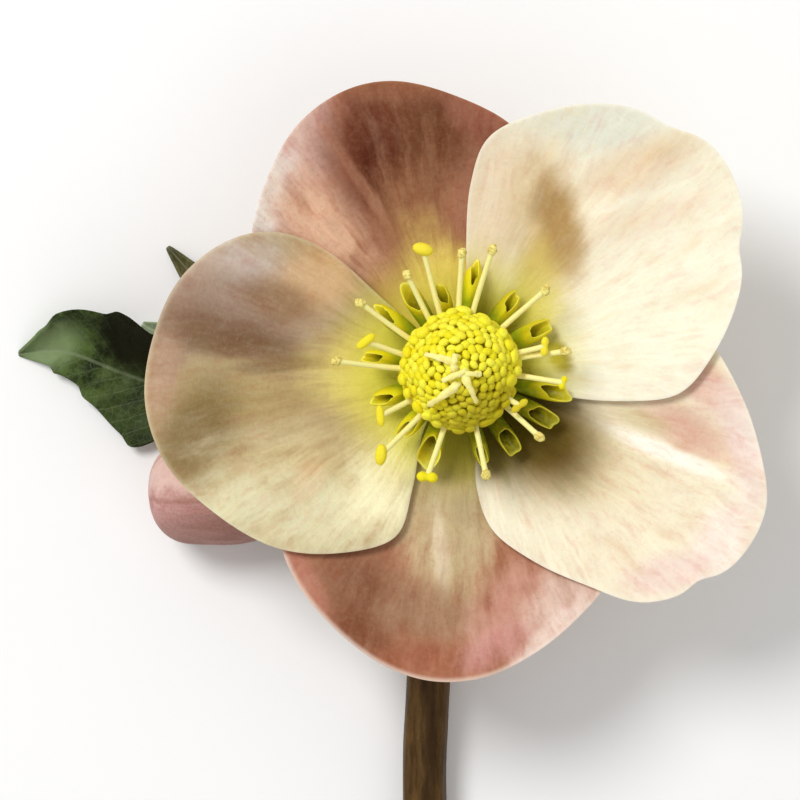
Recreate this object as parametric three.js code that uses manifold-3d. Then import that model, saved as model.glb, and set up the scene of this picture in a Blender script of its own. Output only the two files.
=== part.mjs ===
// A picked hellebore laid down on a surface: one open bloom that faces up, a closed bud and three
// bract leaves on one cut stem. Millimetres, +Z up. Everything is placed from the bloom's axis,
// which stands on x = 0, y = 0, with the surface at z = 0.
import * as THREE from "three";
import { mergeVertices } from "three/addons/utils/BufferGeometryUtils.js";
import Module from "manifold-3d";

const wasm = await Module();
wasm.setup();

// Driving sizes of the bloom.
const BLOOM_HEIGHT = 12.5; // the lowest sepals' attachment above the surface
const BLOOM_RADIUS = 38; // axis to a sepal's tip
const BOWL_DEPTH = 12.5; // how far a sepal rises over that radius
const BOWL_POWER = 1.35; // 1 is a cone, 2 a round bowl
const SEPAL_THICKNESS = 0.75;
const LAYER_STEP = 1.4; // height between sepals that lap over each other
const RECEPTACLE_RADIUS = 4.3;
const SEAT_GAP = 0.3; // between a piece and what carries it

// The boss of stamens in the middle.
const HEAD_HEIGHT = 10.5; // centre of the boss above the sepals' attachment
const HEAD_RADIUS = 7.0; // to the middle of the outermost anthers
const ANTHER_SPACING = 1.75;
const LOWEST_ANTHER = -0.18; // below the boss's widest part, as a share of its radius

// The stem and what it carries.
const STEM_RADIUS = 2.85;
const PEDICEL_RADIUS = 2.15;
const STALK_RADIUS = 1.3;
const LEAF_THICKNESS = 0.7;
const BUD_RADIUS = 7.2;
const BUD_LENGTH = 20.2;

const UP = new THREE.Vector3(0, 0, 1);
const vector = ([x, y, z = 0]) => new THREE.Vector3(x, y, z);
const degrees = THREE.MathUtils.degToRad;
const { lerp, smoothstep } = THREE.MathUtils;

const finish = (color, roughness) => new THREE.MeshStandardMaterial({ color, roughness, metalness: 0 });
const materials = {
  duskySepal: finish(0xb98069, 0.6),
  creamSepal: finish(0xeee3bf, 0.55),
  anther: finish(0xe6dc2e, 0.6),
  style: finish(0xf3edbb, 0.5),
  nectary: finish(0x9fae1c, 0.45),
  stem: finish(0x5c4a35, 0.6),
  leaf: finish(0x2f4a22, 0.55),
  bud: finish(0xc98f8c, 0.6),
};

// The same sequence of numbers from 0 to 1 on every run.
function randomNumbers(seed) {
  let state = seed;
  return () => {
    state = (state * 1664525 + 1013904223) % 4294967296;
    return state / 4294967296;
  };
}

// Values at even steps, joined by a smooth curve.
function profile(values) {
  const curve = new THREE.CatmullRomCurve3(values.map((v, i) => new THREE.Vector3(i, v, 0)));
  return (u) => Math.max(0, curve.getPoint(THREE.MathUtils.clamp(u, 0, 1)).y);
}

// A closed solid from points and triangles, turned so that its faces point outwards.
function solidOf(points, faces) {
  const make = (list) =>
    new wasm.Manifold(
      new wasm.Mesh({
        numProp: 3,
        vertProperties: new Float32Array(points.flatMap((p) => p.toArray())),
        triVerts: new Uint32Array(list.flat()),
      }),
    );
  const made = make(faces);
  return made.volume() > 0 ? made : make(faces.map(([a, b, c]) => [a, c, b]));
}

// A three.js geometry as a solid.
function solidOfGeometry(geometry) {
  const bare = geometry.clone().deleteAttribute("normal").deleteAttribute("uv");
  const merged = mergeVertices(bare, 1e-4);
  const position = merged.getAttribute("position");
  const points = Array.from({ length: position.count }, (_, i) =>
    new THREE.Vector3().fromBufferAttribute(position, i),
  );
  const index = merged.getIndex().array;
  const faces = Array.from({ length: index.length / 3 }, (_, i) => [...index.slice(3 * i, 3 * i + 3)]);
  return solidOf(
    points,
    faces.filter(([a, b, c]) => a !== b && b !== c && c !== a),
  );
}

// A closed skin over rings that all have the same number of points, with a fan over each end.
function skinOf(rings) {
  const sides = rings[0].length;
  const points = rings.flat();
  const centreOf = (ring) =>
    ring.reduce((sum, p) => sum.add(p), new THREE.Vector3()).multiplyScalar(1 / ring.length);
  const first = points.push(centreOf(rings[0])) - 1;
  const last = points.push(centreOf(rings.at(-1))) - 1;
  const faces = [];
  for (let i = 0; i < sides; i++) {
    const next = (i + 1) % sides;
    faces.push([first, next, i]);
    faces.push([last, first - sides + i, first - sides + next]);
    for (let k = 0; k + 1 < rings.length; k++) {
      const [a, b] = [k * sides + i, k * sides + next];
      faces.push([a, b, b + sides], [a, b + sides, a + sides]);
    }
  }
  return solidOf(points, faces);
}

// A round tube along a curve, with its radius given along it.
function tubeOf(curve, radiusAt, sides, steps) {
  const frames = curve.computeFrenetFrames(steps, false);
  const rings = Array.from({ length: steps + 1 }, (_, k) => {
    const centre = curve.getPointAt(k / steps);
    return Array.from({ length: sides }, (_, i) => {
      const turn = (2 * Math.PI * i) / sides;
      return centre
        .clone()
        .addScaledVector(frames.normals[k], radiusAt(k / steps) * Math.cos(turn))
        .addScaledVector(frames.binormals[k], radiusAt(k / steps) * Math.sin(turn));
    });
  });
  return skinOf(rings);
}

// A sheet of triangles made solid: both faces alike, and a wall along the open edge.
function sheetOf(points, triangles, thickness) {
  const half = thickness / 2;
  const count = points.length;
  const edge = new Map();
  for (const [a, b, c] of triangles)
    for (const [from, to] of [
      [a, b],
      [b, c],
      [c, a],
    ])
      if (!edge.delete(`${to} ${from}`)) edge.set(`${from} ${to}`, [from, to]);
  const walls = [...edge.values()].flatMap(([from, to]) => [
    [from, from + count, to + count],
    [from, to + count, to],
  ]);
  return solidOf(
    [
      ...points.map((p) => p.clone().addScaledVector(UP, half)),
      ...points.map((p) => p.clone().addScaledVector(UP, -half)),
    ],
    [...triangles, ...triangles.map(([a, b, c]) => [a + count, c + count, b + count]), ...walls],
  );
}

// What rests on the surface is flat where it touches it.
const restingSurface = solidOfGeometry(new THREE.BoxGeometry(200, 300, 20).translate(0, 0, -10));

// A solid as a named mesh.
function meshOf(name, solid, material) {
  const { numProp, numVert, vertProperties, triVerts } = solid.getMesh();
  const positions = new Float32Array(numVert * 3);
  for (let i = 0; i < numVert; i++)
    positions.set(vertProperties.subarray(i * numProp, i * numProp + 3), i * 3);
  const geometry = new THREE.BufferGeometry()
    .setAttribute("position", new THREE.BufferAttribute(positions, 3))
    .setIndex(new THREE.BufferAttribute(triVerts, 1));
  geometry.computeVertexNormals();
  const mesh = new THREE.Mesh(geometry, material);
  mesh.name = name;
  return mesh;
}

const largestPiece = (solid) => solid.decompose().sort((a, b) => b.volume() - a.volume())[0];

// ---------------------------------------------------------------- sepals

// Each outline runs round one sepal, seen from above. Its first point lies inside the receptacle.
// layer counts up from the outermost sepals; middle is where the sepal's rings gather.
const SEPALS = [
  {
    name: "sepal_top_left",
    material: materials.duskySepal,
    layer: 0,
    middle: [-8, 20],
    azimuth: 104,
    cup: 2.2,
    tipLift: 1.0,
    outline: [
      [-0.8, 2.0], [-8.5, 3.2], [-16.5, 6.3], [-22.5, 10.2], [-26.0, 16.0], [-24.9, 22.3], [-21.0, 30.0],
      [-15.2, 34.7], [-8.6, 36.3], [-1.3, 34.8], [6.4, 31.0], [10.6, 25.0], [10.2, 17.5], [6.5, 9.5],
    ],
  },
  {
    name: "sepal_top_right",
    material: materials.creamSepal,
    layer: 2,
    middle: [18, 15],
    azimuth: 38,
    cup: 0.6,
    tipLift: -1.2,
    outline: [
      [2.2, 2.2], [1.2, 9.0], [0.9, 16.5], [1.4, 23.5], [3.6, 29.2], [9.5, 32.1], [17.5, 33.3], [25.0, 31.6],
      [31.4, 27.9], [34.9, 21.8], [35.5, 14.5], [34.6, 8.3], [31.8, 2.0], [27.5, -3.0], [20.5, -3.9],
      [12.8, -3.2], [7.0, -1.3],
    ],
  },
  {
    name: "sepal_lower_right",
    material: materials.creamSepal,
    layer: 1,
    middle: [20, -11],
    azimuth: -29,
    cup: 0.6,
    tipLift: -0.8,
    outline: [
      [1.5, -1.0], [2.3, -8.5], [2.2, -14.5], [4.2, -20.2], [9.5, -24.2], [15.8, -27.0], [22.5, -29.1],
      [29.0, -27.6], [34.8, -23.7], [38.3, -17.5], [37.8, -10.7], [35.4, -3.3], [31.2, 3.8], [25.5, 7.2],
      [18.0, 7.6], [11.0, 5.4], [6.0, 1.6],
    ],
  },
  {
    name: "sepal_bottom",
    material: materials.duskySepal,
    layer: 0,
    middle: [-1.5, -22],
    azimuth: -93,
    cup: 0.6,
    tipLift: 0.6,
    outline: [
      [-0.3, -1.5], [-6.5, -5.6], [-13.0, -9.8], [-19.0, -14.6], [-22.4, -20.5], [-20.9, -26.0],
      [-16.4, -31.8], [-10.3, -36.6], [-3.8, -38.9], [3.0, -38.5], [9.3, -35.6], [14.8, -31.2],
      [18.6, -26.2], [17.6, -19.6], [13.0, -13.4], [7.0, -7.3],
    ],
  },
  {
    name: "sepal_left",
    material: materials.creamSepal,
    layer: 1,
    middle: [-21, -3],
    azimuth: 190,
    cup: 1.2,
    tipLift: 0.8,
    outline: [
      [-1.5, 0.0], [-5.0, 4.8], [-10.2, 9.6], [-16.5, 15.0], [-23.0, 17.4], [-29.4, 16.1], [-35.2, 11.2],
      [-38.5, 3.6], [-39.3, -4.4], [-36.6, -12.0], [-30.6, -18.0], [-23.4, -22.2], [-15.8, -23.1],
      [-8.2, -21.2], [-5.9, -15.0], [-4.6, -8.0],
    ],
  },
];
const SEPAL_RINGS = 5;
const EDGE_STEPS = 2; // samples between two points of an outline
const SEPAL_HALF_WIDTH = 19;

// Height of a sepal's middle surface at x, y, above the lowest sepals' attachment.
function sepalHeight(sepal, x, y) {
  const radius = Math.hypot(x, y);
  const turn = Math.atan2(y, x) - degrees(sepal.azimuth);
  const across = (radius * Math.sin(turn)) / SEPAL_HALF_WIDTH;
  const bowl = BOWL_DEPTH * (radius / BLOOM_RADIUS) ** BOWL_POWER;
  const outer = smoothstep(radius, 0.45 * BLOOM_RADIUS, BLOOM_RADIUS);
  const hollow = sepal.cup * outer * (across ** 2 - 0.5) * Math.max(0, Math.cos(turn));
  return sepal.layer * LAYER_STEP + bowl + hollow + sepal.tipLift * outer ** 2 * Math.max(0, 1 - across ** 2);
}

const receptacleSeat = new THREE.CylinderGeometry(
  RECEPTACLE_RADIUS + SEAT_GAP,
  RECEPTACLE_RADIUS + SEAT_GAP,
  2 * BLOOM_HEIGHT,
  16,
)
  .rotateX(Math.PI / 2)
  .translate(0, 0, BLOOM_HEIGHT);

function makeSepal(sepal) {
  const curve = new THREE.CatmullRomCurve3(sepal.outline.map(vector), true, "catmullrom", 0.5);
  const count = sepal.outline.length * EDGE_STEPS;
  const edge = Array.from({ length: count }, (_, i) => curve.getPoint(i / count));
  const middle = vector(sepal.middle);
  const points = [middle.clone()];
  for (let ring = 1; ring <= SEPAL_RINGS; ring++)
    for (const p of edge) points.push(middle.clone().lerp(p, ring / SEPAL_RINGS));
  for (const p of points) p.z = BLOOM_HEIGHT + sepalHeight(sepal, p.x, p.y);
  const triangles = [];
  for (let i = 0; i < count; i++) {
    const next = (i + 1) % count;
    triangles.push([0, 1 + i, 1 + next]);
    for (let ring = 0; ring + 1 < SEPAL_RINGS; ring++) {
      const [a, b] = [1 + ring * count + i, 1 + ring * count + next];
      triangles.push([a, a + count, b + count], [a, b + count, b]);
    }
  }
  const blade = sheetOf(points, triangles, SEPAL_THICKNESS).subtract(solidOfGeometry(receptacleSeat));
  return meshOf(sepal.name, largestPiece(blade), sepal.material);
}

// ---------------------------------------------------------------- nectaries

const NECTARY_FLOOR = 3.95; // underside of the nectaries' ring above the sepals' attachment
const NECTARY_RING_THICKNESS = 1.0;
const NECTARY_SIDES = 8;
// Azimuth of each nectary, and how far from the axis the middle of its mouth is.
const NECTARIES = [
  [-13, 12.4], [-29, 12.0], [-55, 10.9], [-75, 10.8], [-110, 11.0], [-132, 9.8], [-160, 10.3], [172, 10.9],
  [143, 11.6], [123, 11.0], [103, 9.8], [81, 12.2], [53, 10.7], [27, 11.3],
];

// One nectary: a horn that widens to a slanting mouth, hollow from the mouth down.
function makeNectary([azimuth, reach]) {
  const root = new THREE.Vector3(3.2, 0, NECTARY_FLOOR + 0.55);
  const mouth = new THREE.Vector3(reach, 0, NECTARY_FLOOR + 3.9);
  const along = mouth.clone().sub(root).normalize();
  const rise = new THREE.Vector3(-along.z, 0, along.x);
  // Distance along the horn, half width, half height, and how far the top leans back.
  const length = mouth.distanceTo(root);
  const sections = [
    [0, 0.6, 0.5, 0],
    [0.4 * length, 0.95, 0.85, 0],
    [0.75 * length, 1.3, 1.15, 0.5],
    [length, 1.15, 1.3, 1.5],
    [0.97 * length, 0.75, 0.9, 1.3],
    [0.55 * length, 0.4, 0.4, 0.3],
  ];
  const rings = sections.map(([distance, halfWidth, halfHeight, lean]) =>
    Array.from({ length: NECTARY_SIDES }, (_, i) => {
      const angle = (2 * Math.PI * i) / NECTARY_SIDES;
      return root
        .clone()
        .addScaledVector(along, distance - lean * Math.sin(angle))
        .addScaledVector(rise, halfHeight * Math.sin(angle))
        .add(new THREE.Vector3(0, halfWidth * Math.cos(angle), 0))
        .applyAxisAngle(UP, degrees(azimuth));
    }),
  );
  return skinOf(rings);
}

function makeNectaries() {
  const ring = new THREE.CylinderGeometry(RECEPTACLE_RADIUS, RECEPTACLE_RADIUS, NECTARY_RING_THICKNESS, 24)
    .rotateX(Math.PI / 2)
    .translate(0, 0, NECTARY_FLOOR + NECTARY_RING_THICKNESS / 2);
  const horns = NECTARIES.map(makeNectary);
  const solid = wasm.Manifold.union([solidOfGeometry(ring), ...horns]).translate(0, 0, BLOOM_HEIGHT);
  return meshOf("nectaries", solid, materials.nectary);
}

// ---------------------------------------------------------------- stamens and styles

// Spread stamens: azimuth, reach of the anther from the axis, and whether its pollen is still on.
const SPREAD_STAMENS = [
  [10, 13.4, false], [15.5, 11.0, true], [43, 14.6, false], [75, 15.6, false], [89, 14.6, false],
  [107, 15.8, true], [119, 13.6, false], [146, 15.0, false], [163, 12.3, true], [176, 15.5, false],
  [210, 11.5, true], [227, 14.5, true], [253, 14.0, true], [284, 13.5, false], [320, 13.0, false],
  [329, 8.7, true], [353, 13.0, false],
];
// Styles: azimuth and reach of each tip.
const STYLES = [[105, 2.6], [153, 4.7], [203, 3.2], [229, 6.0], [297, 4.9], [352, 3.3]];
const COLUMN_RADIUS = 1.3; // the carpels, which stand in the middle of the boss
const NECK_RADIUS = 2.7;
const NECK_FLOOR = NECTARY_FLOOR + NECTARY_RING_THICKNESS + 0.15;
const STAMEN_TIP_HEIGHT = 13.6;

const headCentre = new THREE.Vector3(0, 0, HEAD_HEIGHT);

// The packed young anthers: beads over the boss, on a spiral at even spacing.
function antherBeads() {
  const random = randomNumbers(5);
  const whole = Math.round((4 * Math.PI * HEAD_RADIUS ** 2) / ANTHER_SPACING ** 2);
  const goldenAngle = Math.PI * (3 - Math.sqrt(5));
  const beads = [];
  for (let i = 0; i < whole; i++) {
    const height = 1 - (2 * (i + 0.5)) / whole;
    if (height < LOWEST_ANTHER) break;
    const out = new THREE.Vector3(
      Math.sqrt(1 - height ** 2) * Math.cos(i * goldenAngle),
      Math.sqrt(1 - height ** 2) * Math.sin(i * goldenAngle),
      height,
    );
    const bead = new THREE.IcosahedronGeometry(1, 0)
      .scale(0.7, 0.8, 0.8)
      .rotateZ(2 * Math.PI * random())
      .applyQuaternion(new THREE.Quaternion().setFromUnitVectors(UP, out))
      .translate(...out.multiplyScalar(HEAD_RADIUS).add(headCentre).toArray());
    beads.push(solidOfGeometry(bead));
  }
  return beads;
}

// One long filament with its anther, which lies across its end.
function spreadStamen([azimuth, reach, full]) {
  const at = (radius, height) => new THREE.Vector3(radius, 0, height).applyAxisAngle(UP, degrees(azimuth));
  const tip = at(reach, STAMEN_TIP_HEIGHT);
  const path = new THREE.CatmullRomCurve3([at(2.0, 8.2), at(0.5 * reach, 10.6), tip]);
  const anther = full
    ? new THREE.SphereGeometry(1, 6, 5).scale(0.8, 1.25, 0.8).rotateZ(degrees(azimuth))
    : new THREE.IcosahedronGeometry(0.72, 0);
  return [
    tubeOf(path, (u) => lerp(0.5, 0.4, u), 5, 4),
    solidOfGeometry(anther.translate(...tip.toArray())),
  ];
}

function makeStamens() {
  const core = new THREE.IcosahedronGeometry(HEAD_RADIUS - 0.2, 1).translate(...headCentre.toArray());
  const below = new THREE.BoxGeometry(40, 40, 20).translate(0, 0, HEAD_HEIGHT - 0.3 * HEAD_RADIUS - 10);
  const neckHeight = HEAD_HEIGHT - NECK_FLOOR;
  const neck = new THREE.CylinderGeometry(0.8 * HEAD_RADIUS, NECK_RADIUS, neckHeight, 12)
    .rotateX(Math.PI / 2)
    .translate(0, 0, NECK_FLOOR + neckHeight / 2);
  const bore = new THREE.CylinderGeometry(COLUMN_RADIUS + SEAT_GAP, COLUMN_RADIUS + SEAT_GAP, 40, 12);
  const solid = wasm.Manifold.union([
    solidOfGeometry(core).subtract(solidOfGeometry(below)),
    solidOfGeometry(neck),
    ...antherBeads(),
    ...SPREAD_STAMENS.flatMap(spreadStamen),
  ]).subtract(solidOfGeometry(bore.rotateX(Math.PI / 2)));
  return meshOf("stamens", largestPiece(solid).translate(0, 0, BLOOM_HEIGHT), materials.anther);
}

// The carpels' column and the styles that bend out over the anthers.
function makeStyles() {
  const over = HEAD_RADIUS + 1.75; // the styles' middle line, clear of the beads
  const columnTop = HEAD_HEIGHT + over - 0.4;
  const column = new THREE.CylinderGeometry(COLUMN_RADIUS, COLUMN_RADIUS, columnTop - NECK_FLOOR, 10)
    .rotateX(Math.PI / 2)
    .translate(0, 0, (columnTop + NECK_FLOOR) / 2);
  const styles = STYLES.map(([azimuth, reach]) => {
    const at = (share, lift) => {
      const lean = share * Math.asin(reach / over);
      return new THREE.Vector3(0, 0, over + lift)
        .applyAxisAngle(new THREE.Vector3(0, 1, 0), lean)
        .applyAxisAngle(UP, degrees(azimuth))
        .add(headCentre);
    };
    return tubeOf(
      new THREE.CatmullRomCurve3([at(0.05, -1.2), at(0.3, 0.1), at(0.65, 0.25), at(1, 0.1)]),
      (u) => lerp(0.5, 0.42, u),
      6,
      6,
    );
  });
  const solid = wasm.Manifold.union([solidOfGeometry(column), ...styles]).translate(0, 0, BLOOM_HEIGHT);
  return meshOf("styles", solid, materials.style);
}

// ---------------------------------------------------------------- stem

// The stem's middle line, from its cut end, along the surface, up to the top of the receptacle.
const STEM_PATH = [
  [2.6, -105, STEM_RADIUS - 0.1], [0.2, -88, 3.1], [-2.8, -72, 3.4], [-4.3, -56, 3.5], [-3.8, -40, 3.45],
  [-2.9, -26, 3.4], [-2.0, -15.5, 2.7], [-1.1, -8.8, 2.0], [-0.35, -3.2, 4.2], [0, -0.6, 8.2],
  [0, 0, 11.2], [0, 0, 13.0], [0, 0, BLOOM_HEIGHT + NECTARY_FLOOR - 0.15],
];
const STEM_STEPS = 34;
const FLARE = [BLOOM_HEIGHT - 2.1, BLOOM_HEIGHT - 0.5]; // heights between which the stem widens
const TAPER = [-30, -10]; // along Y, between which the stem thins to the bloom's stalk
const NODE = { y: -20, swelling: 0.45, length: 3.5 }; // where the leaves stand

function stemRadius({ y, z }) {
  if (z > FLARE[0])
    return lerp(PEDICEL_RADIUS, RECEPTACLE_RADIUS, Math.min(1, (z - FLARE[0]) / (FLARE[1] - FLARE[0])));
  const swelling = NODE.swelling * Math.exp(-(((y - NODE.y) / NODE.length) ** 2));
  return lerp(STEM_RADIUS, PEDICEL_RADIUS, smoothstep(y, ...TAPER)) + swelling;
}

function makeStem() {
  const path = new THREE.CatmullRomCurve3(STEM_PATH.map(vector));
  const stem = tubeOf(path, (u) => stemRadius(path.getPointAt(u)), 12, STEM_STEPS);
  const stalkPath = new THREE.CatmullRomCurve3(BUD_STALK_PATH.map(vector));
  const stalk = tubeOf(stalkPath, (u) => lerp(1.15 * STALK_RADIUS, STALK_RADIUS, u), 8, 12);
  return meshOf("stem", stem.add(stalk).subtract(restingSurface), materials.stem);
}

// ---------------------------------------------------------------- bud

const BUD_BASE = new THREE.Vector3(-20.0, -14.9, 7.2);
const BUD_DIRECTION = new THREE.Vector3(-20.2, -1.1, -0.7).normalize();
const BUD_STALK_PATH = [
  [-3.0, -27.0, 3.1], [-7.2, -25.8, 4.6], [-11.2, -21.8, 6.1], [-14.0, -17.6, 7.0],
  ...[3, SEAT_GAP + 0.05].map((back) => BUD_BASE.clone().addScaledVector(BUD_DIRECTION, -back).toArray()),
];
const budProfile = profile([0.3, 0.72, 0.92, 0.99, 1.0, 1.0, 0.98, 0.83, 0.2]);
const BUD_SIDES = 20;
const BUD_RINGS = 12;
const BUD_LAPS = 5; // sepals that wrap it, each edge standing proud of the next

function makeBud() {
  const side = new THREE.Vector3().crossVectors(BUD_DIRECTION, UP).normalize();
  const top = new THREE.Vector3().crossVectors(side, BUD_DIRECTION);
  const rings = Array.from({ length: BUD_RINGS + 1 }, (_, k) => {
    const u = (1 - Math.cos((Math.PI * k) / BUD_RINGS)) / 2;
    return Array.from({ length: BUD_SIDES }, (_, i) => {
      const lap = ((i * BUD_LAPS) / BUD_SIDES) % 1;
      const radius = BUD_RADIUS * budProfile(u) * (0.97 + 0.04 * lap);
      const turn = (2 * Math.PI * i) / BUD_SIDES + 0.5 * u;
      return BUD_BASE.clone()
        .addScaledVector(BUD_DIRECTION, u * BUD_LENGTH)
        .addScaledVector(side, radius * Math.cos(turn))
        .addScaledVector(top, radius * Math.sin(turn));
    });
  });
  return meshOf("bud", skinOf(rings).subtract(restingSurface), materials.bud);
}

// ---------------------------------------------------------------- bract leaves

// Each leaf runs from its base on the stem to its tip. left and right are the half widths on each
// side of the rib at even steps, seen from above and looking to the tip; lifts raise the margins.
const LEAVES = [
  {
    name: "leaf_left",
    rib: [[-6.1, -20.5, 3.0], [-14, -15.6, 2.6], [-24, -9.0, 2.1], [-34, -3.6, 1.7], [-44, -0.2, 1.3],
      [-52, 2.7, 1.3], [-57.7, 2.3, 0.4]],
    left: [1.0, 1.6, 2.0, 1.8, 1.8, 3.9, 8.2, 4.8, 2.9, 1.8, 0.2],
    right: [1.0, 1.8, 2.6, 3.2, 3.7, 4.2, 5.6, 6.7, 5.6, 2.4, 0.2],
    leftLift: 0.6,
    rightLift: 4.6,
    teeth: 8,
  },
  {
    name: "leaf_middle",
    rib: [[-5.2, -16.8, 1.9], [-14, -10.8, 1.1], [-24, -4.4, 0.6], [-33, 0.9, 0.5], [-41.5, 5.4, 0.7]],
    left: [0.9, 1.6, 2.4, 3.1, 3.5, 3.6, 3.5, 3.3, 2.8, 1.8, 0.3],
    right: [0.9, 1.6, 2.4, 3.1, 3.5, 3.6, 3.6, 3.5, 3.1, 2.2, 0.3],
    leftLift: 0.2,
    rightLift: 0.5,
    teeth: 6,
  },
  {
    name: "leaf_upper",
    rib: [[-4.7, -13.4, 3.1], [-13, -7.4, 3.9], [-22, 0.2, 3.6], [-30.5, 8.0, 2.0], [-38.1, 16.4, 0.4]],
    left: [0.9, 2.0, 3.0, 3.9, 4.4, 4.4, 4.0, 3.3, 2.4, 1.4, 0.2],
    right: [0.9, 2.0, 3.0, 3.9, 4.4, 4.5, 4.1, 3.4, 2.5, 1.4, 0.2],
    leftLift: 1.4,
    rightLift: 1.4,
    teeth: 7,
  },
];
const SAMPLES_PER_TOOTH = 3;
const TOOTH_DEPTH = 0.9;
const LEAF_STRIPS = 3; // on each side of the rib

function makeLeaf(leaf) {
  const rib = new THREE.CatmullRomCurve3(leaf.rib.map(vector));
  const sides = [
    { sign: 1, width: profile(leaf.left), lift: leaf.leftLift },
    { sign: -1, width: profile(leaf.right), lift: leaf.rightLift },
  ];
  const steps = leaf.teeth * SAMPLES_PER_TOOTH;
  const points = [];
  for (let k = 0; k <= steps; k++) {
    const u = k / steps;
    const centre = rib.getPoint(u);
    const ahead = rib.getTangent(u);
    const across = new THREE.Vector3(-ahead.y, ahead.x, 0).normalize();
    const tooth = (TOOTH_DEPTH * (k % SAMPLES_PER_TOOTH)) / (SAMPLES_PER_TOOTH - 1);
    for (let strip = -LEAF_STRIPS; strip <= LEAF_STRIPS; strip++) {
      const side = strip > 0 ? sides[0] : sides[1];
      const share = Math.abs(strip) / LEAF_STRIPS;
      const width = side.width(u);
      const margin = share === 1 && width > 2 ? tooth : 0;
      points.push(
        centre
          .clone()
          .addScaledVector(across, side.sign * (share * width + margin))
          .addScaledVector(UP, side.lift * share ** 2 * smoothstep(u, 0.25, 0.6) * (1 - u ** 8)),
      );
    }
  }
  const row = 2 * LEAF_STRIPS + 1;
  const triangles = [];
  for (let k = 0; k < steps; k++)
    for (let i = 0; i + 1 < row; i++) {
      const a = k * row + i;
      triangles.push([a, a + row, a + row + 1], [a, a + row + 1, a + 1]);
    }
  return meshOf(leaf.name, sheetOf(points, triangles, LEAF_THICKNESS), materials.leaf);
}

// ---------------------------------------------------------------- the whole plant

const plant = new THREE.Group();
plant.add(...SEPALS.map(makeSepal), makeNectaries(), makeStamens(), makeStyles());
plant.add(makeStem(), makeBud(), ...LEAVES.map(makeLeaf));

// The part's origin is under the middle of its outer box, on the surface it lies on.
const box = new THREE.Box3().setFromObject(plant);
plant.position.set(-(box.min.x + box.max.x) / 2, -(box.min.y + box.max.y) / 2, -box.min.z);

export default new THREE.Group().add(plant);
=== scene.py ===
import random
from bisect import bisect_left
from itertools import accumulate
from math import atan2, cos, exp, hypot, pi, radians, sin, sqrt, tau

import bpy
from mathutils import Matrix, Vector, noise


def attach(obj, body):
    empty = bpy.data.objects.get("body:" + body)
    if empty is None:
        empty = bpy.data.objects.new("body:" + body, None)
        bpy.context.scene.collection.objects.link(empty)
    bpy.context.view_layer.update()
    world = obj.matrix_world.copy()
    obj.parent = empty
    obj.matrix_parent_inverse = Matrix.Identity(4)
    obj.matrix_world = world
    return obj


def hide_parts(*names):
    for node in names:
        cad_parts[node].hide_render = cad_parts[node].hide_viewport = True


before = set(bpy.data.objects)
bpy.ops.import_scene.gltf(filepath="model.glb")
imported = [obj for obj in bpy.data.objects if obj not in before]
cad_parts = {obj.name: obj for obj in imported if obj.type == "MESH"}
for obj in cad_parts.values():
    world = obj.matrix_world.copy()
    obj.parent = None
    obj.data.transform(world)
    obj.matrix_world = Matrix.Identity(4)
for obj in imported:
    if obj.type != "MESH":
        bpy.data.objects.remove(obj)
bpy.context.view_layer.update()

bpy.ops.object.select_all(action="DESELECT")

MM = 0.001
BLOOM_AXIS = Vector((9.648, 34.549, 0)) * MM
UP = Vector((0, 0, 1))
CREASE = radians(60)  # edges sharper than this stay sharp

# The bloom.
BLOOM_HEIGHT = 12.5  # the lowest sepals' attachment above the table
BLOOM_RADIUS = 38
BOWL_DEPTH = 12.5
BOWL_POWER = 1.35
LAYER_STEP = 1.4
SEPAL_THICKNESS = 0.5
MARGIN_SHARE = 0.35  # of that thickness is left at the sepals' margin
SEPAL_HALF_WIDTH = 19
SEAT_RADIUS = 4.35  # the sepals end here, round the receptacle
SEAT_CROWDING = 0.55  # how much of the layers' spacing is left there

# The boss of stamens.
HEAD_CENTRE = Vector((0, 0, BLOOM_HEIGHT + 10.5))
HEAD_RADIUS = 7.0

# The stem and what it carries.
STEM_RADIUS = 2.85
PEDICEL_RADIUS = 2.15
RECEPTACLE_RADIUS = 4.3
STALK_RADIUS = 1.3
LEAF_THICKNESS = 0.5
BUD_RADIUS = 7.2
BUD_LENGTH = 20.2


def spot(x, y, z):
    """A point in millimetres from the bloom's axis, in the frame's metres."""
    return BLOOM_AXIS + Vector((x, y, z)) * MM


def polar(azimuth, reach, height=0):
    turn = radians(azimuth)
    return Vector((reach * cos(turn), reach * sin(turn), height))


def uneven(turn, along, size=2):
    """Noise that runs on smoothly round a piece and along it."""
    return noise.noise(Vector((size * cos(turn), size * sin(turn), along)))


def ease(value, low, high):
    """A value's way from low to high, eased in and out."""
    share = min(max((value - low) / (high - low), 0), 1)
    return share * share * (3 - 2 * share)


def mix(first, second, share):
    return first + (second - first) * share


def smooth_line(points, closed=False):
    """The place along a smooth curve through the points, for a share of the way from 0 to 1."""
    knots = [Vector((*p, 0)[:3]) for p in points]
    spans = len(knots) if closed else len(knots) - 1
    if closed:
        knots = [knots[-1], *knots, *knots[:2]]
    else:
        knots = [2 * knots[0] - knots[1], *knots, 2 * knots[-1] - knots[-2]]

    def at(share):
        place = (share % 1 if closed else min(max(share, 0), 1)) * spans
        k = min(int(place), spans - 1)
        t = place - k
        a, b, c, d = knots[k : k + 4]
        runs = [(b - a).length, (c - b).length, (d - c).length]
        steps = [1 if closed else max(run, 1e-6) ** 0.5 for run in runs]
        leave = ((b - a) / steps[0] - (c - a) / (steps[0] + steps[1]) + (c - b) / steps[1]) * steps[1]
        arrive = ((c - b) / steps[1] - (d - b) / (steps[1] + steps[2]) + (d - c) / steps[2]) * steps[1]
        return (
            b * (2 * t**3 - 3 * t**2 + 1)
            + leave * (t**3 - 2 * t**2 + t)
            + c * (3 * t**2 - 2 * t**3)
            + arrive * (t**3 - t**2)
        )

    return at


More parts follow.
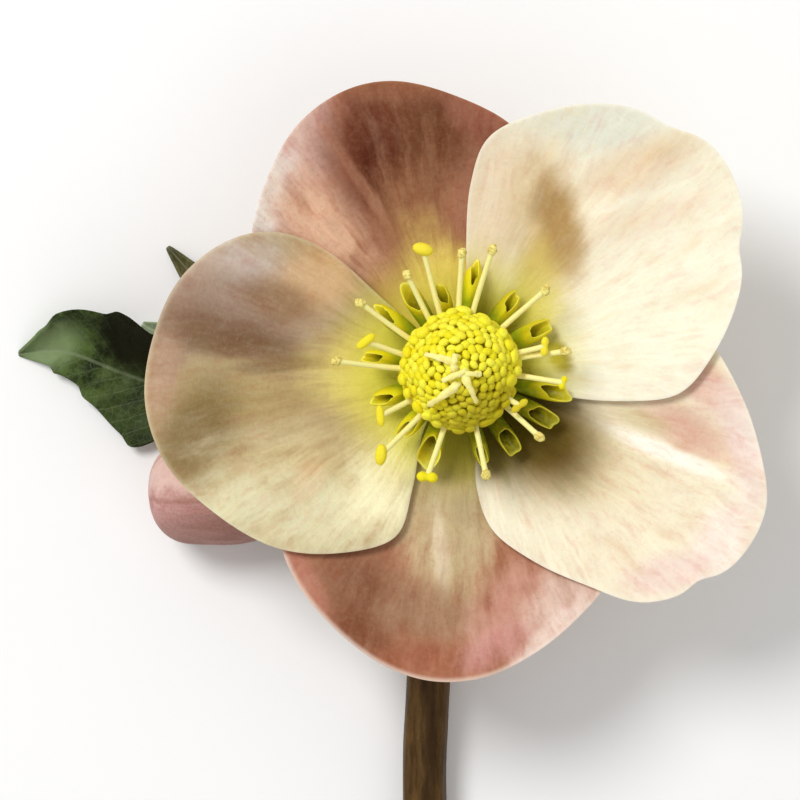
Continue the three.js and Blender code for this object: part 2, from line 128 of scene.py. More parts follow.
def upright(foot, crown):
    """The place along the bloom's axis, for a share of the way between two heights."""
    return lambda share: Vector((0, 0, mix(foot, crown, share)))


def profile(values):
    """Values at even steps, joined by a smooth curve."""
    line = smooth_line(list(enumerate(values)))
    return lambda share: max(0, line(share).y)


# ---- working with pieces


def only(piece):
    bpy.ops.object.select_all(action="DESELECT")
    piece.select_set(True)
    bpy.context.view_layer.objects.active = piece


def started(name):
    """Name the piece that a primitive has just begun."""
    piece = bpy.context.object
    piece.name = name
    piece.data.name = name
    return piece


def edit(piece, mode="VERT"):
    only(piece)
    bpy.ops.object.mode_set(mode="EDIT")
    bpy.ops.mesh.select_mode(type=mode)
    bpy.ops.mesh.select_all(action="SELECT")


def done_editing():
    bpy.ops.object.mode_set(mode="OBJECT")


def edit_edges(piece, wanted):
    """Start editing with the edges selected whose two ends are as wanted."""
    edit(piece, "EDGE")
    bpy.ops.mesh.select_all(action="DESELECT")
    done_editing()
    for edge in piece.data.edges:
        edge.select = wanted(*(piece.data.vertices[i].co for i in edge.vertices))
    bpy.ops.object.mode_set(mode="EDIT")


def faced_outwards(piece):
    edit(piece)
    bpy.ops.mesh.normals_make_consistent(inside=False)
    done_editing()
    return piece


def modified(piece, kind, **settings):
    """Add a modifier and apply it."""
    only(piece)
    bpy.ops.object.modifier_add(type=kind)
    modifier = piece.modifiers[-1]
    for setting, value in settings.items():
        setattr(modifier, setting, value)
    bpy.ops.object.modifier_apply(modifier=modifier.name)


def smoothed(piece):
    modified(piece, "SUBSURF", levels=1, render_levels=1, use_limit_surface=False)


def joined(pieces, name):
    only(pieces[0])
    for piece in pieces:
        piece.select_set(True)
    bpy.ops.object.join()
    return started(name)


def mark(piece, name, value_at):
    """Keep a number at each vertex for the material: the same one, or one from its place."""
    values = [value_at(v.co) if callable(value_at) else value_at for v in piece.data.vertices]
    piece.data.attributes.new(name, "FLOAT", "POINT").data.foreach_set("value", values)


def dressed(piece, node, finish):
    """Give a finished piece its material, and hide the solid it stands for."""
    piece.data.materials.clear()
    piece.data.materials.append(finish)
    only(piece)
    bpy.ops.object.shade_smooth_by_angle(angle=CREASE)
    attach(piece, "root")
    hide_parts(node)


def flat_disc(name, spokes, rings):
    """A disc of radius 1, in rings round its middle."""
    bpy.ops.mesh.primitive_circle_add(vertices=spokes, radius=1)
    piece = started(name)
    edit(piece)
    for ring in range(rings, 1, -1):
        bpy.ops.mesh.extrude_edges_move()
        shrink = (ring - 1) / ring
        bpy.ops.transform.resize(value=(shrink, shrink, 1), center_override=(0, 0, 0))
    bpy.ops.mesh.extrude_edges_move()
    bpy.ops.mesh.merge(type="CENTER")
    done_editing()
    return faced_outwards(piece)


def tube(name, line, radius_at, sides, levels):
    """A closed tube along a line; radius_at(share, turn) is its radius in millimetres."""
    bpy.ops.mesh.primitive_cylinder_add(vertices=sides, radius=1, depth=2, end_fill_type="TRIFAN")
    piece = started(name)
    edit_edges(piece, lambda a, b: abs(a.z - b.z) > 1)
    bpy.ops.mesh.subdivide(number_cuts=levels - 1)
    done_editing()

    centres = [line(k / levels) for k in range(levels + 1)]
    normal = (centres[1] - centres[0]).normalized().orthogonal().normalized()
    frames = []
    for k in range(levels + 1):
        ahead = (centres[min(k + 1, levels)] - centres[max(k - 1, 0)]).normalized()
        normal = (normal - ahead * normal.dot(ahead)).normalized()
        frames.append((normal, ahead.cross(normal)))
    mark(piece, "along", lambda co: (co.z + 1) / 2)
    for vertex in piece.data.vertices:
        share = (vertex.co.z + 1) / 2
        level = round(share * levels)
        turn = atan2(vertex.co.y, vertex.co.x)
        size = radius_at(share, turn) * vertex.co.xy.length
        across, upward = frames[level]
        place = centres[level] + size * (cos(turn) * across + sin(turn) * upward)
        vertex.co = spot(place.x, place.y, max(place.z, 0))
    return faced_outwards(piece)


# ---- working with materials

EVERYWHERE = 1000  # stretches a place along an axis that doesn't count for it
PATCH_EDGE = (1.25, 0.35)  # where a patch begins and where it is full, as shares of its size


def srgb(red, green, blue):
    """A colour given as it looks, as the shader's linear one."""
    parts = [part / 255 for part in (red, green, blue)]
    return (*(p / 12.92 if p <= 0.04045 else ((p + 0.055) / 1.055) ** 2.4 for p in parts), 1)


class Skin:
    """A material. Its colour is laid on coat by coat, each as strong as a value of the skin says."""

    def __init__(self, name, colour, roughness, specular=0.2, scatter=(0, 50)):
        """scatter is the share of light that spreads under the skin, and how far in millimetres."""
        self.finish = bpy.data.materials.new(name)
        self.finish.use_nodes = True
        self.tree = self.finish.node_tree
        self.shader = self.tree.nodes["Principled BSDF"]
        self.colour = colour
        self.give(self.shader, {"Roughness": roughness, "Specular IOR Level": specular})
        self.give(self.shader, {"Subsurface Weight": scatter[0], "Subsurface Scale": scatter[1] * MM})

    def give(self, node, values):
        """Set a node's sockets, or link them to other nodes."""
        for socket, value in values.items():
            if isinstance(value, bpy.types.NodeSocket):
                self.tree.links.new(value, node.inputs[socket])
            else:
                node.inputs[socket].default_value = value

    def node(self, kind, values, **settings):
        """Add a node, and return what comes out of it."""
        node = self.tree.nodes.new("ShaderNode" + kind)
        for setting, value in settings.items():
            setattr(node, setting, value)
        self.give(node, values)
        return node.outputs

    def place(self, centre=(0, 0, 0), turn=0, size=(1, 1, 1)):
        """Object coordinates, measured from a place in millimetres of the bloom, in units of size."""
        found = self.node("TexCoord", {})["Object"]
        values = {0: found, 1: spot(*centre), 2: (0, 0, radians(turn)), 3: Vector(size) * MM}
        return self.node("Mapping", values, vector_type="TEXTURE")[0]

    def reach(self, *place):
        """How far it is from a place, in units of the place's size."""
        return self.node("VectorMath", {0: self.place(*place)}, operation="LENGTH")["Value"]

    def marked(self, name):
        """A number that is kept at the piece's vertices."""
        return self.node("Attribute", {}, attribute_name=name)["Fac"]

    def maths(self, operation, *values):
        return self.node("Math", dict(enumerate(values)), operation=operation)[0]

    def plus(self, *values):
        return self.maths("ADD", *values)

    def minus(self, *values):
        return self.maths("SUBTRACT", *values)

    def times(self, *values):
        return self.maths("MULTIPLY", *values)

    def speckle(self, scale, detail=2, rough=0.5, place=None):
        values = {"Scale": scale, "Detail": detail, "Roughness": rough}
        return self.node("TexNoise", {"Vector": place or self.place(), **values})["Fac"]

    def eased(self, value, low, high, to_low=0, to_high=1):
        """A value's way from low to high, eased in and out."""
        values = dict(enumerate((value, low, high, to_low, to_high)))
        return self.node("MapRange", values, interpolation_type="SMOOTHSTEP")[0]

    def mixed(self, share, first, second, blend="MIX"):
        """Two colours mixed. One that is given as three numbers is a colour as it looks."""
        pair = [srgb(*c) if isinstance(c, tuple) and len(c) == 3 else c for c in (first, second)]
        values = dict(zip((0, 6, 7), (share, *pair)))
        return self.node("Mix", values, data_type="RGBA", blend_type=blend)[2]

    def coat(self, colour, share, low=None, high=None, strength=1, blend="MIX"):
        """Lay on a colour by a share, or by a value's eased way from low to high."""
        if low is not None:
            share = self.eased(share, low, high, 0, strength)
        self.colour = self.mixed(share, self.colour, colour, blend)

    def patch(self, patch, ragged):
        """Lay on a soft-edged oval, its edge broken up by the ragged noise."""
        x, y, length, width, turn, colour, strength = patch
        distance = self.plus(self.reach((x, y, 0), turn, (length, width, EVERYWHERE)), ragged)
        self.coat(colour, distance, *PATCH_EDGE, strength)

    def done(self, height=None, depth=0, strength=0):
        """The material, with relief that deep in millimetres where a height of 0 to 1 is given."""
        self.give(self.shader, {"Base Color": self.colour})
        if height is not None:
            bump = {"Strength": strength, "Distance": depth * MM, "Height": height}
            self.give(self.shader, {"Normal": self.node("Bump", bump)["Normal"]})
        return self.finish


# ---- sepals

# The outline runs round one sepal, seen from above, from a point inside the receptacle. layer
# counts up from the outermost sepals, and middle is where the sepal's rings gather. A fold is
# (azimuth, from radius, to radius, half width, height); a dent is (x, y, reach, inward, up).
# A patch is (x, y, half length, half width, turn, colour, strength), and ragged says how broken
# the patches' edges are. The claw is the sepal's foot. tint darkens it where it is mottled, with
# between as the colour of the lighter places, and the margin has a colour and a strength.
TOP_LEFT = dict(
    name="sepal_top_left", slot="dusky_sepal", layer=0, middle=(-8, 20), azimuth=104, cup=2.2,
    tip_lift=1,
    outline=[
        (-0.8, 2), (-8.5, 3.2), (-16.5, 6.3), (-22.5, 10.2), (-26, 16), (-24.9, 22.3), (-21, 30),
        (-15.2, 34.7), (-8.6, 36.3), (-1.3, 34.8), (6.4, 31), (10.6, 25), (10.2, 17.5), (6.5, 9.5),
    ],
    folds=[(118, 10, 36, 3, 0.35), (96, 10, 34, 2.5, -0.3)],
    dents=[],
    patches=[
        (-18.5, 26, 14, 8, 66, (206, 152, 128), 0.95), (-21.8, 22.5, 12, 5, 70, (222, 186, 172), 0.9),
        (-24.4, 21, 12, 3, 74, (247, 240, 233), 1), (-19.6, 31, 7, 2.2, 52, (220, 186, 174), 0.8),
        (-17.5, 18.4, 9, 5.5, 135, (238, 198, 166), 0.9), (-10, 28, 12, 8, 100, (114, 58, 34), 1),
        (-9.6, 25.5, 7, 4, 104, (96, 46, 26), 0.8), (-3, 29.6, 9, 6, 75, (118, 72, 44), 0.95),
        (-8.7, 35.4, 9, 1.8, 0, (152, 100, 70), 0.7), (3.4, 31.2, 8, 3, -34, (156, 98, 78), 0.75),
        (5.4, 26, 7, 3, 96, (158, 106, 84), 0.8), (-5.6, 20.4, 7, 6, 100, (162, 114, 80), 0.8),
        (-13, 24.4, 9, 0.9, 124, (178, 126, 98), 0.6), (-3.4, 25, 8, 0.9, 92, (150, 106, 76), 0.6),
        (-4, 15.2, 6, 4.5, 104, (204, 170, 100), 0.8),
        (-1.6, 11.6, 4.6, 5.6, 104, (250, 224, 128), 0.85),
    ],
    base=(184, 132, 104), claw=(252, 236, 96), tint=(212, 184, 170), between=(216, 168, 136),
    margin=((190, 120, 96), 0), mottling=0.6, ragged=0.7,
)
TOP_RIGHT = dict(
    name="sepal_top_right", slot="cream_sepal", layer=2, middle=(18, 15), azimuth=38, cup=0.6,
    tip_lift=-1.2,
    outline=[
        (2.2, 2.2), (1.2, 9), (0.9, 16.5), (1.4, 23.5), (3.6, 29.2), (9.5, 32.1), (17.5, 33.3),
        (25, 31.6), (31.4, 27.9), (34.9, 21.8), (35.5, 14.5), (34.6, 8.3), (31.8, 2), (27.5, -3),
        (20.5, -3.9), (12.8, -3.2), (7, -1.3),
    ],
    folds=[(60, 9, 26, 2.6, -0.7), (46, 16, 38, 2.6, 0.5), (22, 12, 37, 3, 0.3)],
    dents=[(26.5, 30.6, 3, 0.7, 0.5), (35.3, 15.4, 2.4, 0.6, -0.4)],
    patches=[
        (4.4, 21.2, 11, 5.4, 84, (236, 215, 184), 0.9), (17.5, 30.8, 12, 3.8, 0, (229, 230, 213), 0.85),
        (22.5, 25.6, 10, 3.2, 24, (232, 210, 176), 0.85), (20, 18.8, 8, 1.8, 22, (240, 222, 190), 0.6),
        (26, 19.4, 9, 1.5, 28, (242, 222, 196), 0.6), (31.5, 15, 8, 4, 80, (250, 242, 218), 0.7),
        (22.5, 5, 11, 6, 10, (251, 247, 222), 0.8), (11, 18.6, 11.5, 5.4, 98, (222, 196, 146), 0.8),
        (10.4, 13.4, 7.5, 3.4, 72, (204, 182, 92), 0.8),
        # the small dark patch by the nectaries at the foot is painted shadow
        (12.4, 19, 7.6, 3.4, 106, (180, 146, 90), 0.95), (12.6, 2, 3, 1.6, -62, (112, 84, 30), 0.95),
        (9.4, 8, 5, 4, 40, (230, 220, 146), 0.7),
    ],
    base=(247, 240, 216), claw=(220, 210, 40), tint=(243, 229, 204), between=(255, 252, 238),
    margin=((246, 244, 232), 0.2), mottling=0.38, ragged=0.75,
)
LOWER_RIGHT = dict(
    name="sepal_lower_right", slot="cream_sepal", layer=1, middle=(20, -11), azimuth=-29, cup=0.6,
    tip_lift=-0.8,
    outline=[
        (1.5, -1), (2.3, -8.5), (2.2, -14.5), (4.2, -20.2), (9.5, -24.2), (15.8, -27), (22.5, -29.1),
        (29, -27.6), (34.8, -23.7), (38.15, -17.5), (37.7, -10.7), (35.4, -3.3), (31.2, 3.8),
        (25.5, 7.2), (18, 7.6), (11, 5.4), (6, 1.6),
    ],
    folds=[(-24, 14, 38, 1.8, 0.8), (-14, 12, 40, 2.2, -0.5), (-40, 12, 36, 3, -0.35)],
    dents=[(30.3, -27, 2, 0.8, 0.4)],
    patches=[
        (18.7, -12.5, 8, 6, -35, (236, 222, 184), 0.6), (15, -23.7, 8, 3.5, -15, (242, 232, 204), 0.7),
        (5.6, -20, 5, 6, 0, (243, 235, 208), 0.85), (33, -21, 7, 4, 55, (244, 230, 220), 0.75),
        (26, -25.6, 7, 3, 15, (236, 212, 202), 0.75), (31, -2, 6, 3, -40, (222, 180, 166), 0.75),
        (35.6, -10, 9, 2.6, -75, (236, 216, 210), 0.8), (28.7, -7.5, 7, 3, -32, (214, 172, 150), 0.85),
        (23, -6.2, 4.5, 1.5, -22, (202, 186, 140), 0.7),
        # painted highlight along the raised middle fold
        (25.6, -10.2, 10.5, 1.2, -23, (254, 250, 236), 0.95),
        # this patch and the two after it: painted shadow of the boss over the sepal's own olive-brown
        # foot
        (11.6, -9.4, 10.2, 8.6, -38, (184, 164, 112), 0.8),
        (10.6, -8.4, 8.6, 7.2, -38, (102, 80, 20), 1),
        (4.2, -10.6, 4.4, 3.2, -72, (132, 116, 44), 0.85),
    ],
    # the claw here is dark partly as painted shadow of the boss
    base=(241, 232, 204), claw=(92, 80, 6), tint=(236, 212, 196), between=(244, 232, 204),
    margin=((246, 238, 228), 0.2), mottling=0.5, ragged=0.3,
)
BOTTOM = dict(
    name="sepal_bottom", slot="dusky_sepal", layer=0, middle=(-1.5, -22), azimuth=-93, cup=0.6,
    tip_lift=0.6,
    outline=[
        (-0.3, -1.5), (-6.5, -5.6), (-13, -9.8), (-19, -14.6), (-22.4, -20.5), (-20.9, -26),
        (-16.4, -31.8), (-10.3, -36.6), (-3.8, -38.9), (3, -38.5), (9.3, -35.6), (14.8, -31.2),
        (18.6, -26.2), (17.6, -19.6), (13, -13.4), (7, -7.3),
    ],
    folds=[(-93, 12, 34, 2.2, 0.5), (-108, 12, 36, 3, -0.3), (-76, 12, 36, 3, -0.3)],
    dents=[],
    patches=[
        (-1.2, -16.5, 9, 7.5, 90, (222, 208, 160), 0.9), (-1.5, -21, 11, 5.6, 92, (200, 180, 138), 0.9),
        (-2.5, -22.4, 6, 1.3, 95, (228, 214, 186), 0.6),
        (-12.2, -28.2, 7.6, 5.6, -50, (140, 96, 68), 0.9),
        (-4.4, -30.2, 7, 4.2, -20, (160, 124, 94), 0.8), (-12.2, -34, 7, 3.2, -42, (130, 80, 52), 0.9),
        (-3.7, -36.4, 9, 2.6, 0, (160, 98, 70), 0.85), (6.9, -30, 8, 4.6, 50, (202, 152, 132), 0.9),
        (5, -34.6, 6, 2.6, 30, (208, 152, 146), 0.6), (13.7, -27.5, 7.5, 3.8, 48, (222, 196, 180), 0.9),
        (12, -32.4, 9, 1.5, 42, (240, 218, 206), 0.75),
        (-19.8, -25.6, 8, 1.6, -58, (192, 128, 110), 0.6),
        # painted shade under the boss
        (0.2, -11.4, 5.5, 3.4, 0, (164, 148, 60), 0.6),
    ],
    # the claw is darkened partly as painted shade under the boss
    base=(174, 122, 92), claw=(180, 170, 38), tint=(214, 188, 172), between=(226, 186, 158),
    margin=((248, 230, 216), 0.45), mottling=0.5, ragged=0.7,
)
LEFT = dict(
    name="sepal_left", slot="cream_sepal", layer=1, middle=(-21, -3), azimuth=190, cup=1.2,
    tip_lift=0.8,
    outline=[
        (-1.5, 0), (-5, 4.8), (-10.2, 9.6), (-16.5, 15), (-23, 17.4), (-29.4, 16.1), (-35.2, 11.2),
        (-38.5, 3.6), (-39.3, -4.4), (-36.6, -12), (-30.6, -18), (-23.4, -22.2), (-15.8, -23.1),
        (-8.2, -21.2), (-5.9, -15), (-4.6, -8),
    ],
    folds=[(172, 13, 38, 1.8, -0.5), (186, 12, 38, 2.4, 0.3), (214, 12, 34, 2.6, 0.4)],
    dents=[
        (-28.5, -17.5, 1.6, 0, 0.3), (-25, -19.4, 1.4, 0, -0.25), (-31.5, -14.6, 1.5, 0, -0.25),
    ],
    patches=[
        (-28.6, 11, 13, 8, -20, (208, 192, 180), 0.95), (-34.4, 10.6, 8, 3, 55, (206, 182, 162), 0.7),
        (-17.4, 12.4, 9, 5, 38, (224, 184, 136), 0.85), (-26.2, -3.7, 12, 3.5, 4, (184, 160, 106), 0.8),
        (-33.2, -8.3, 9, 5.4, 62, (128, 106, 60), 0.75), (-36, 4, 6, 3.4, 72, (176, 146, 122), 0.8),
        # this patch and the four after it: the sepal's mauve band, deepened as painted shade in the
        # valley of the fold at 172 degrees
        (-29, 7.4, 12, 5.6, -14, (156, 124, 102), 0.75),
        (-29.4, 4.8, 10, 3.6, -10, (132, 98, 68), 0.65), (-27, 3, 9, 2, -6, (118, 84, 50), 0.6),
        (-22.8, 8.8, 6, 3, -20, (148, 112, 76), 0.75), (-22.1, 0.7, 8, 1.2, 6, (132, 102, 64), 0.7),
        (-37.2, -1.4, 6.5, 2.4, 80, (190, 154, 126), 0.75),
        (-18, -14.6, 15, 7.5, -4, (222, 207, 158), 0.8), (-20, -18, 16, 5.4, -8, (230, 224, 184), 0.9),
        (-9.4, -14.4, 7.5, 5.6, 68, (255, 248, 204), 0.9),
        (-19, -13.7, 4.2, 2, 70, (226, 194, 150), 0.5), (-11.5, 0, 9, 6, 0, (242, 226, 132), 0.7),
    ],
    base=(192, 170, 126), claw=(246, 238, 82), tint=(226, 206, 190), between=(244, 232, 206),
    margin=((236, 230, 200), 0.2), mottling=0.45, ragged=0.65,
)
SEPALS = [TOP_LEFT, TOP_RIGHT, LOWER_RIGHT, BOTTOM, LEFT]
SEPAL_SPOKES = 132
SEPAL_RINGS = 26
UNEVENNESS = 0.28
THIN_FROM = 0.82  # the share of the way from the middle to the margin
VEIN_LIGHT = (1.14, 1.14, 1.14, 1)  # how much lighter the veins are
BLUSH = (244, 214, 214)


def sepal_height(sepal, x, y):
    """Height of a sepal's middle surface above the lowest sepals' attachment."""
    radius = hypot(x, y)
    turn = atan2(y, x) - radians(sepal["azimuth"])
    across = radius * sin(turn) / SEPAL_HALF_WIDTH
    bowl = BOWL_DEPTH * (radius / BLOOM_RADIUS) ** BOWL_POWER
    outer = ease(radius, 0.45 * BLOOM_RADIUS, BLOOM_RADIUS)
    hollow = sepal["cup"] * outer * (across**2 - 0.5) * max(0, cos(turn))
    tip = sepal["tip_lift"] * outer**2 * max(0, 1 - across**2)
    step = LAYER_STEP * mix(SEAT_CROWDING, 1, ease(radius, SEAT_RADIUS, 10))
    return sepal["layer"] * step + bowl + hollow + tip


def sepal_relief(sepal, x, y):
    """What the living sepal adds to its smooth bowl: folds along its veins and a slight unevenness."""
    radius = hypot(x, y)
    height = UNEVENNESS * ease(radius, 8, 22) * noise.noise(Vector((x, y, 10 * sepal["layer"])) / 9)
    for azimuth, start, end, half_width, lift in sepal["folds"]:
        turn = atan2(y, x) - radians(azimuth)
        aside = radius * sin(turn) / half_width
        if cos(turn) > 0 and abs(aside) < 3:
            rise = ease(radius, start, mix(start, end, 0.5))
            fall = 1 - ease(radius, mix(start, end, 0.7), end + 4)
            height += lift * exp(-(aside**2)) * (rise * fall)
    return height


def dented(sepal, place, middle):
    """Pull the margin in and up or down where the sepal has a dent."""
    lift = 0
    for x, y, reach, inward, up in sepal["dents"]:
        near = exp(-((place - Vector((x, y, 0))).length_squared) / reach**2)
        place = place + (middle - place).normalized() * inward * near
        lift += up * near
    return place, lift


def seated(middle, rim):
    """A rim point, drawn back to the seat round the receptacle where it lies inside it."""
    if rim.length >= SEAT_RADIUS:
        return rim
    step = rim - middle
    a, b, c = step.length_squared, middle.dot(step), middle.length_squared - SEAT_RADIUS**2
    return middle + step * (-b - sqrt(b * b - a * c)) / a


def make_sepal(sepal):
    blade = flat_disc(sepal["name"] + "_blade", SEPAL_SPOKES, SEPAL_RINGS)
    outline = smooth_line(sepal["outline"], closed=True)
    middle = Vector((*sepal["middle"], 0))
    body = blade.vertex_groups.new(name="body")
    mark(blade, "edge", lambda co: co.xy.length)
    for vertex in blade.data.vertices:
        share = vertex.co.xy.length
        turn = atan2(vertex.co.y, vertex.co.x) / tau
        place = middle + (seated(middle, outline(turn)) - middle) * share
        place, lift = dented(sepal, place, middle)
        height = sepal_height(sepal, place.x, place.y) + sepal_relief(sepal, place.x, place.y) + lift
        vertex.co = spot(place.x, place.y, BLOOM_HEIGHT + height)
        body.add([vertex.index], 1 - ease(share, THIN_FROM, 1), "REPLACE")
    thin_out = {"vertex_group": "body", "thickness_vertex_group": MARGIN_SHARE}
    modified(blade, "SOLIDIFY", thickness=SEPAL_THICKNESS * MM, offset=0, **thin_out)
    smoothed(blade)
    dressed(blade, sepal["name"], sepal_finish(sepal))


def sepal_finish(sepal):
    """Soft patches of colour, streaked and mottled out from the base, with a pale thin margin."""
    skin = Skin(sepal["name"] + "_skin", sepal["base"], 0.6, specular=0.12, scatter=(0.15, 0.8))
    skin.give(skin.shader, {"Subsurface Radius": (1.0, 0.7, 0.4)})
    mottling = sepal["mottling"]
    place = skin.place(turn=sepal["azimuth"])
    x, y, _ = skin.node("SeparateXYZ", {0: place})
    radius = skin.maths("SQRT", skin.plus(skin.times(x, x), skin.times(y, y)))
    wander = skin.times(skin.speckle(0.12, place=place), 0.1)
    turn = skin.plus(skin.maths("ARCTAN2", y, x), wander)

    def drawn_out(turns, lengths, seed, detail, rough):
        """Noise in streaks that run out from the base."""
        fan = {0: skin.times(turn, turns), 1: skin.times(radius, lengths), 2: seed}
        return skin.speckle(1, detail, rough, skin.node("CombineXYZ", fan)[0])

    clouds = skin.speckle(0.2, 5, 0.62, place)
    streaks = drawn_out(15, 0.11, 0, 4, 0.55)
    flecks = drawn_out(48, 0.4, 0, 2, 0.5)
    grain = skin.speckle(1.8, 3, 0.7, place)
    off_vein = skin.maths("ABSOLUTE", skin.minus(drawn_out(11, 0.05, 5, 3, 0.5), 0.5))

    ragged = skin.times(skin.minus(skin.plus(streaks, clouds), 1), sepal["ragged"])
    for patch in sepal["patches"]:
        skin.patch(patch, ragged)
    blade = skin.eased(radius, 15, 26, 0.1, 1)
    for rough_height, share in ((clouds, 0.6), (streaks, 1), (flecks, 0.2), (grain, 0.5)):
        strength = share * mottling
        skin.coat(sepal["tint"], rough_height, 0.48, 0.72, strength, "MULTIPLY")
        lightened = skin.eased(rough_height, 0.52, 0.26, 0, 0.28 * strength)
        skin.coat(sepal["between"], skin.times(lightened, blade))
    skin.coat(VEIN_LIGHT, off_vein, 0.05, 0, 0.7 * mottling, "MULTIPLY")
    blush = skin.eased(drawn_out(26, 0.32, 9, 4, 0.6), 0.46, 0.72, 0, mottling)
    skin.coat(BLUSH, skin.times(blush, blade), blend="MULTIPLY")
    skin.coat(sepal["claw"], radius, 18.5, 8, 0.92)
    margin, strength = sepal["margin"]
    skin.coat(margin, skin.marked("edge"), 0.96, 1, strength)
    wrinkles = drawn_out(20, 1, 3, 3, 0.6)
    return skin.done(skin.plus(skin.plus(clouds, streaks), wrinkles), 0.2, 0.5)


# ---- nectaries

NECTARY_FLOOR = BLOOM_HEIGHT + 3.95
NECTARY_RING_THICKNESS = 1.0
NECTARY_ROOT = Vector((3.2, 0, NECTARY_FLOOR + 0.55))
NECTARY_RISE = 3.35  # from the root to the middle of the mouth
NECTARY_SIDES = 20
# Azimuth of each nectary, how far from the axis the middle of its mouth is, how wide the horn
# is, how far its lips stand open, and how green it still is; that last value also paints shade,
# so the horns in the boss's shadow at the lower right have the highest and come out darker.
NECTARIES = [
    (-13, 12.4, 1, 0.75, 0.4), (-29, 12, 0.95, 0.85, 0.9), (-55, 10.9, 0.95, 0.85, 1),
    (-75, 10.8, 0.85, 0.6, 0.9), (-110, 11, 1.1, 1, 0.3), (-132, 9.8, 0.95, 0.65, 0.1),
    (-160, 10.3, 1, 0.5, 0.1), (172, 10.9, 1, 0.45, 0), (143, 11.6, 1, 0.45, 0.1),
    (123, 11, 1, 0.85, 0.3), (103, 9.8, 0.9, 0.6, 0.2), (81, 12.2, 1, 0.4, 0), (53, 10.7, 1, 0.5, 0.3),
    (27, 11.3, 1.05, 0.6, 0.2),
]
# The horn's rings from its root, over the lip and down inside: share of its length, half width,
# half height, how far the upper side leans back, and how much the lips' closing moves the ring.
HORN_RINGS = [
    (0, 0.55, 0.5, 0, 0), (0.2, 0.74, 0.68, 0, 0), (0.42, 0.98, 0.92, 0.1, 0),
    (0.62, 1.16, 1.08, 0.45, 0), (0.8, 1.26, 1.2, 1, 0), (0.91, 1.3, 1.3, 1.5, 0.12),
    (0.98, 1.36, 1.42, 1.75, 0.5), (1.01, 1.38, 1.44, 1.8, 0.95), (1.015, 1.28, 1.34, 1.72, 1),
    (0.97, 1.04, 1.14, 1.54, 1), (0.85, 0.93, 1, 1.06, 0.7), (0.66, 0.74, 0.78, 0.5, 0.2),
    (0.48, 0.42, 0.42, 0.2, 0),
]
LIP_RING = 8
# From the lip inwards: where the colour starts and is full, when yellow, and when still green;
# the green colours are dim and dark partly as painted shade, and the deepest ring is darkest as
# painted shade in the hollow.
MOUTH_COLOURS = [
    (0.93, 1, (250, 240, 104), (188, 180, 66)),
    (1, 1.1, (222, 210, 34), (136, 130, 22)),
    (1.1, 1.4, (160, 152, 14), (64, 58, 6)),
]
PINCH = 0.35  # how far the mouth narrows on its upper side
CURL = 0.55  # how far a closed lip curls over
CRIMP = 0.2
WAVE = 0.3
HORN_LENGTH = 8.8
TWIST = 16  # how far a horn may turn on its own length, in degrees


def make_horn(width, openness, seed):
    """One nectary of length 1 that lies along +X from the origin: a horn with a slanting mouth."""
    bpy.ops.mesh.primitive_circle_add(vertices=NECTARY_SIDES, radius=1, fill_type="TRIFAN")
    horn = started("nectary_horn")
    edit_edges(horn, lambda a, b: min(a.length, b.length) > 0.5)
    for ring in range(1, len(HORN_RINGS)):
        bpy.ops.mesh.extrude_edges_move(TRANSFORM_OT_translate={"value": (0, 0, 1)})
    bpy.ops.mesh.edge_face_add()
    bpy.ops.mesh.poke()
    done_editing()
    mark(horn, "along", lambda co: round(co.z) / LIP_RING)
    for vertex in horn.data.vertices:
        share, half_width, half_height, lean, closing = HORN_RINGS[round(vertex.co.z)]
        turn = atan2(vertex.co.y, vertex.co.x)
        size = min(vertex.co.xy.length, 1)
        opening = ease(share, 0.4, 0.95)
        upper, lower = max(0, sin(turn)), max(0, -sin(turn))
        slant = upper - lower**0.65
        across = (1 - PINCH * opening * upper**1.5) * mix(1, openness, closing)
        lengthwise = mix(1, 0.4 + 0.6 * openness, closing)
        curl = CURL * (1 - openness) * closing
        crimp = CRIMP * opening * uneven(turn, seed, 2.2)
        wave = WAVE * opening**3 * cos(3 * turn + seed)
        vertex.co = (
            share + (curl + wave - lean * lengthwise * slant * size) / HORN_LENGTH,
            (half_width * across * cos(turn) + crimp) * width * size,
            half_height * lengthwise * size * sin(turn) + curl + crimp * size,
        )
    smoothed(faced_outwards(horn))
    return horn


def make_nectaries():
    chance = random.Random(3)
    horns = []
    for azimuth, reach, width, openness, greenness_and_shade in NECTARIES:
        run = Vector((reach - NECTARY_ROOT.x, 0, NECTARY_RISE))
        pitch = atan2(run.z, run.x)
        horn = make_horn(width, openness, azimuth)
        horn.data.transform(
            Matrix.Translation(BLOOM_AXIS)
            @ Matrix.Rotation(radians(azimuth), 4, "Z")
            @ Matrix.Translation(NECTARY_ROOT * MM)
            @ Matrix.Rotation(-pitch, 4, "Y")
            @ Matrix.Rotation(radians(chance.uniform(-TWIST, TWIST)), 4, "X")
            @ Matrix.Diagonal((run.length * MM, MM, MM, 1))
        )
        mark(horn, "greenness_and_shade", greenness_and_shade)
        horns.append(horn)
    bpy.ops.mesh.primitive_cylinder_add(
        vertices=40,
        radius=RECEPTACLE_RADIUS * MM,
        depth=NECTARY_RING_THICKNESS * MM,
        location=spot(0, 0, NECTARY_FLOOR + NECTARY_RING_THICKNESS / 2),
    )
    collar = started("nectary_collar")
    bpy.ops.object.transform_apply()
    modified(collar, "BEVEL", width=0.25 * MM, segments=3)
    mark(collar, "along", 0)
    mark(collar, "greenness_and_shade", 0.5)
    dressed(joined([*horns, collar], "nectary_ring"), "nectaries", nectary_finish())


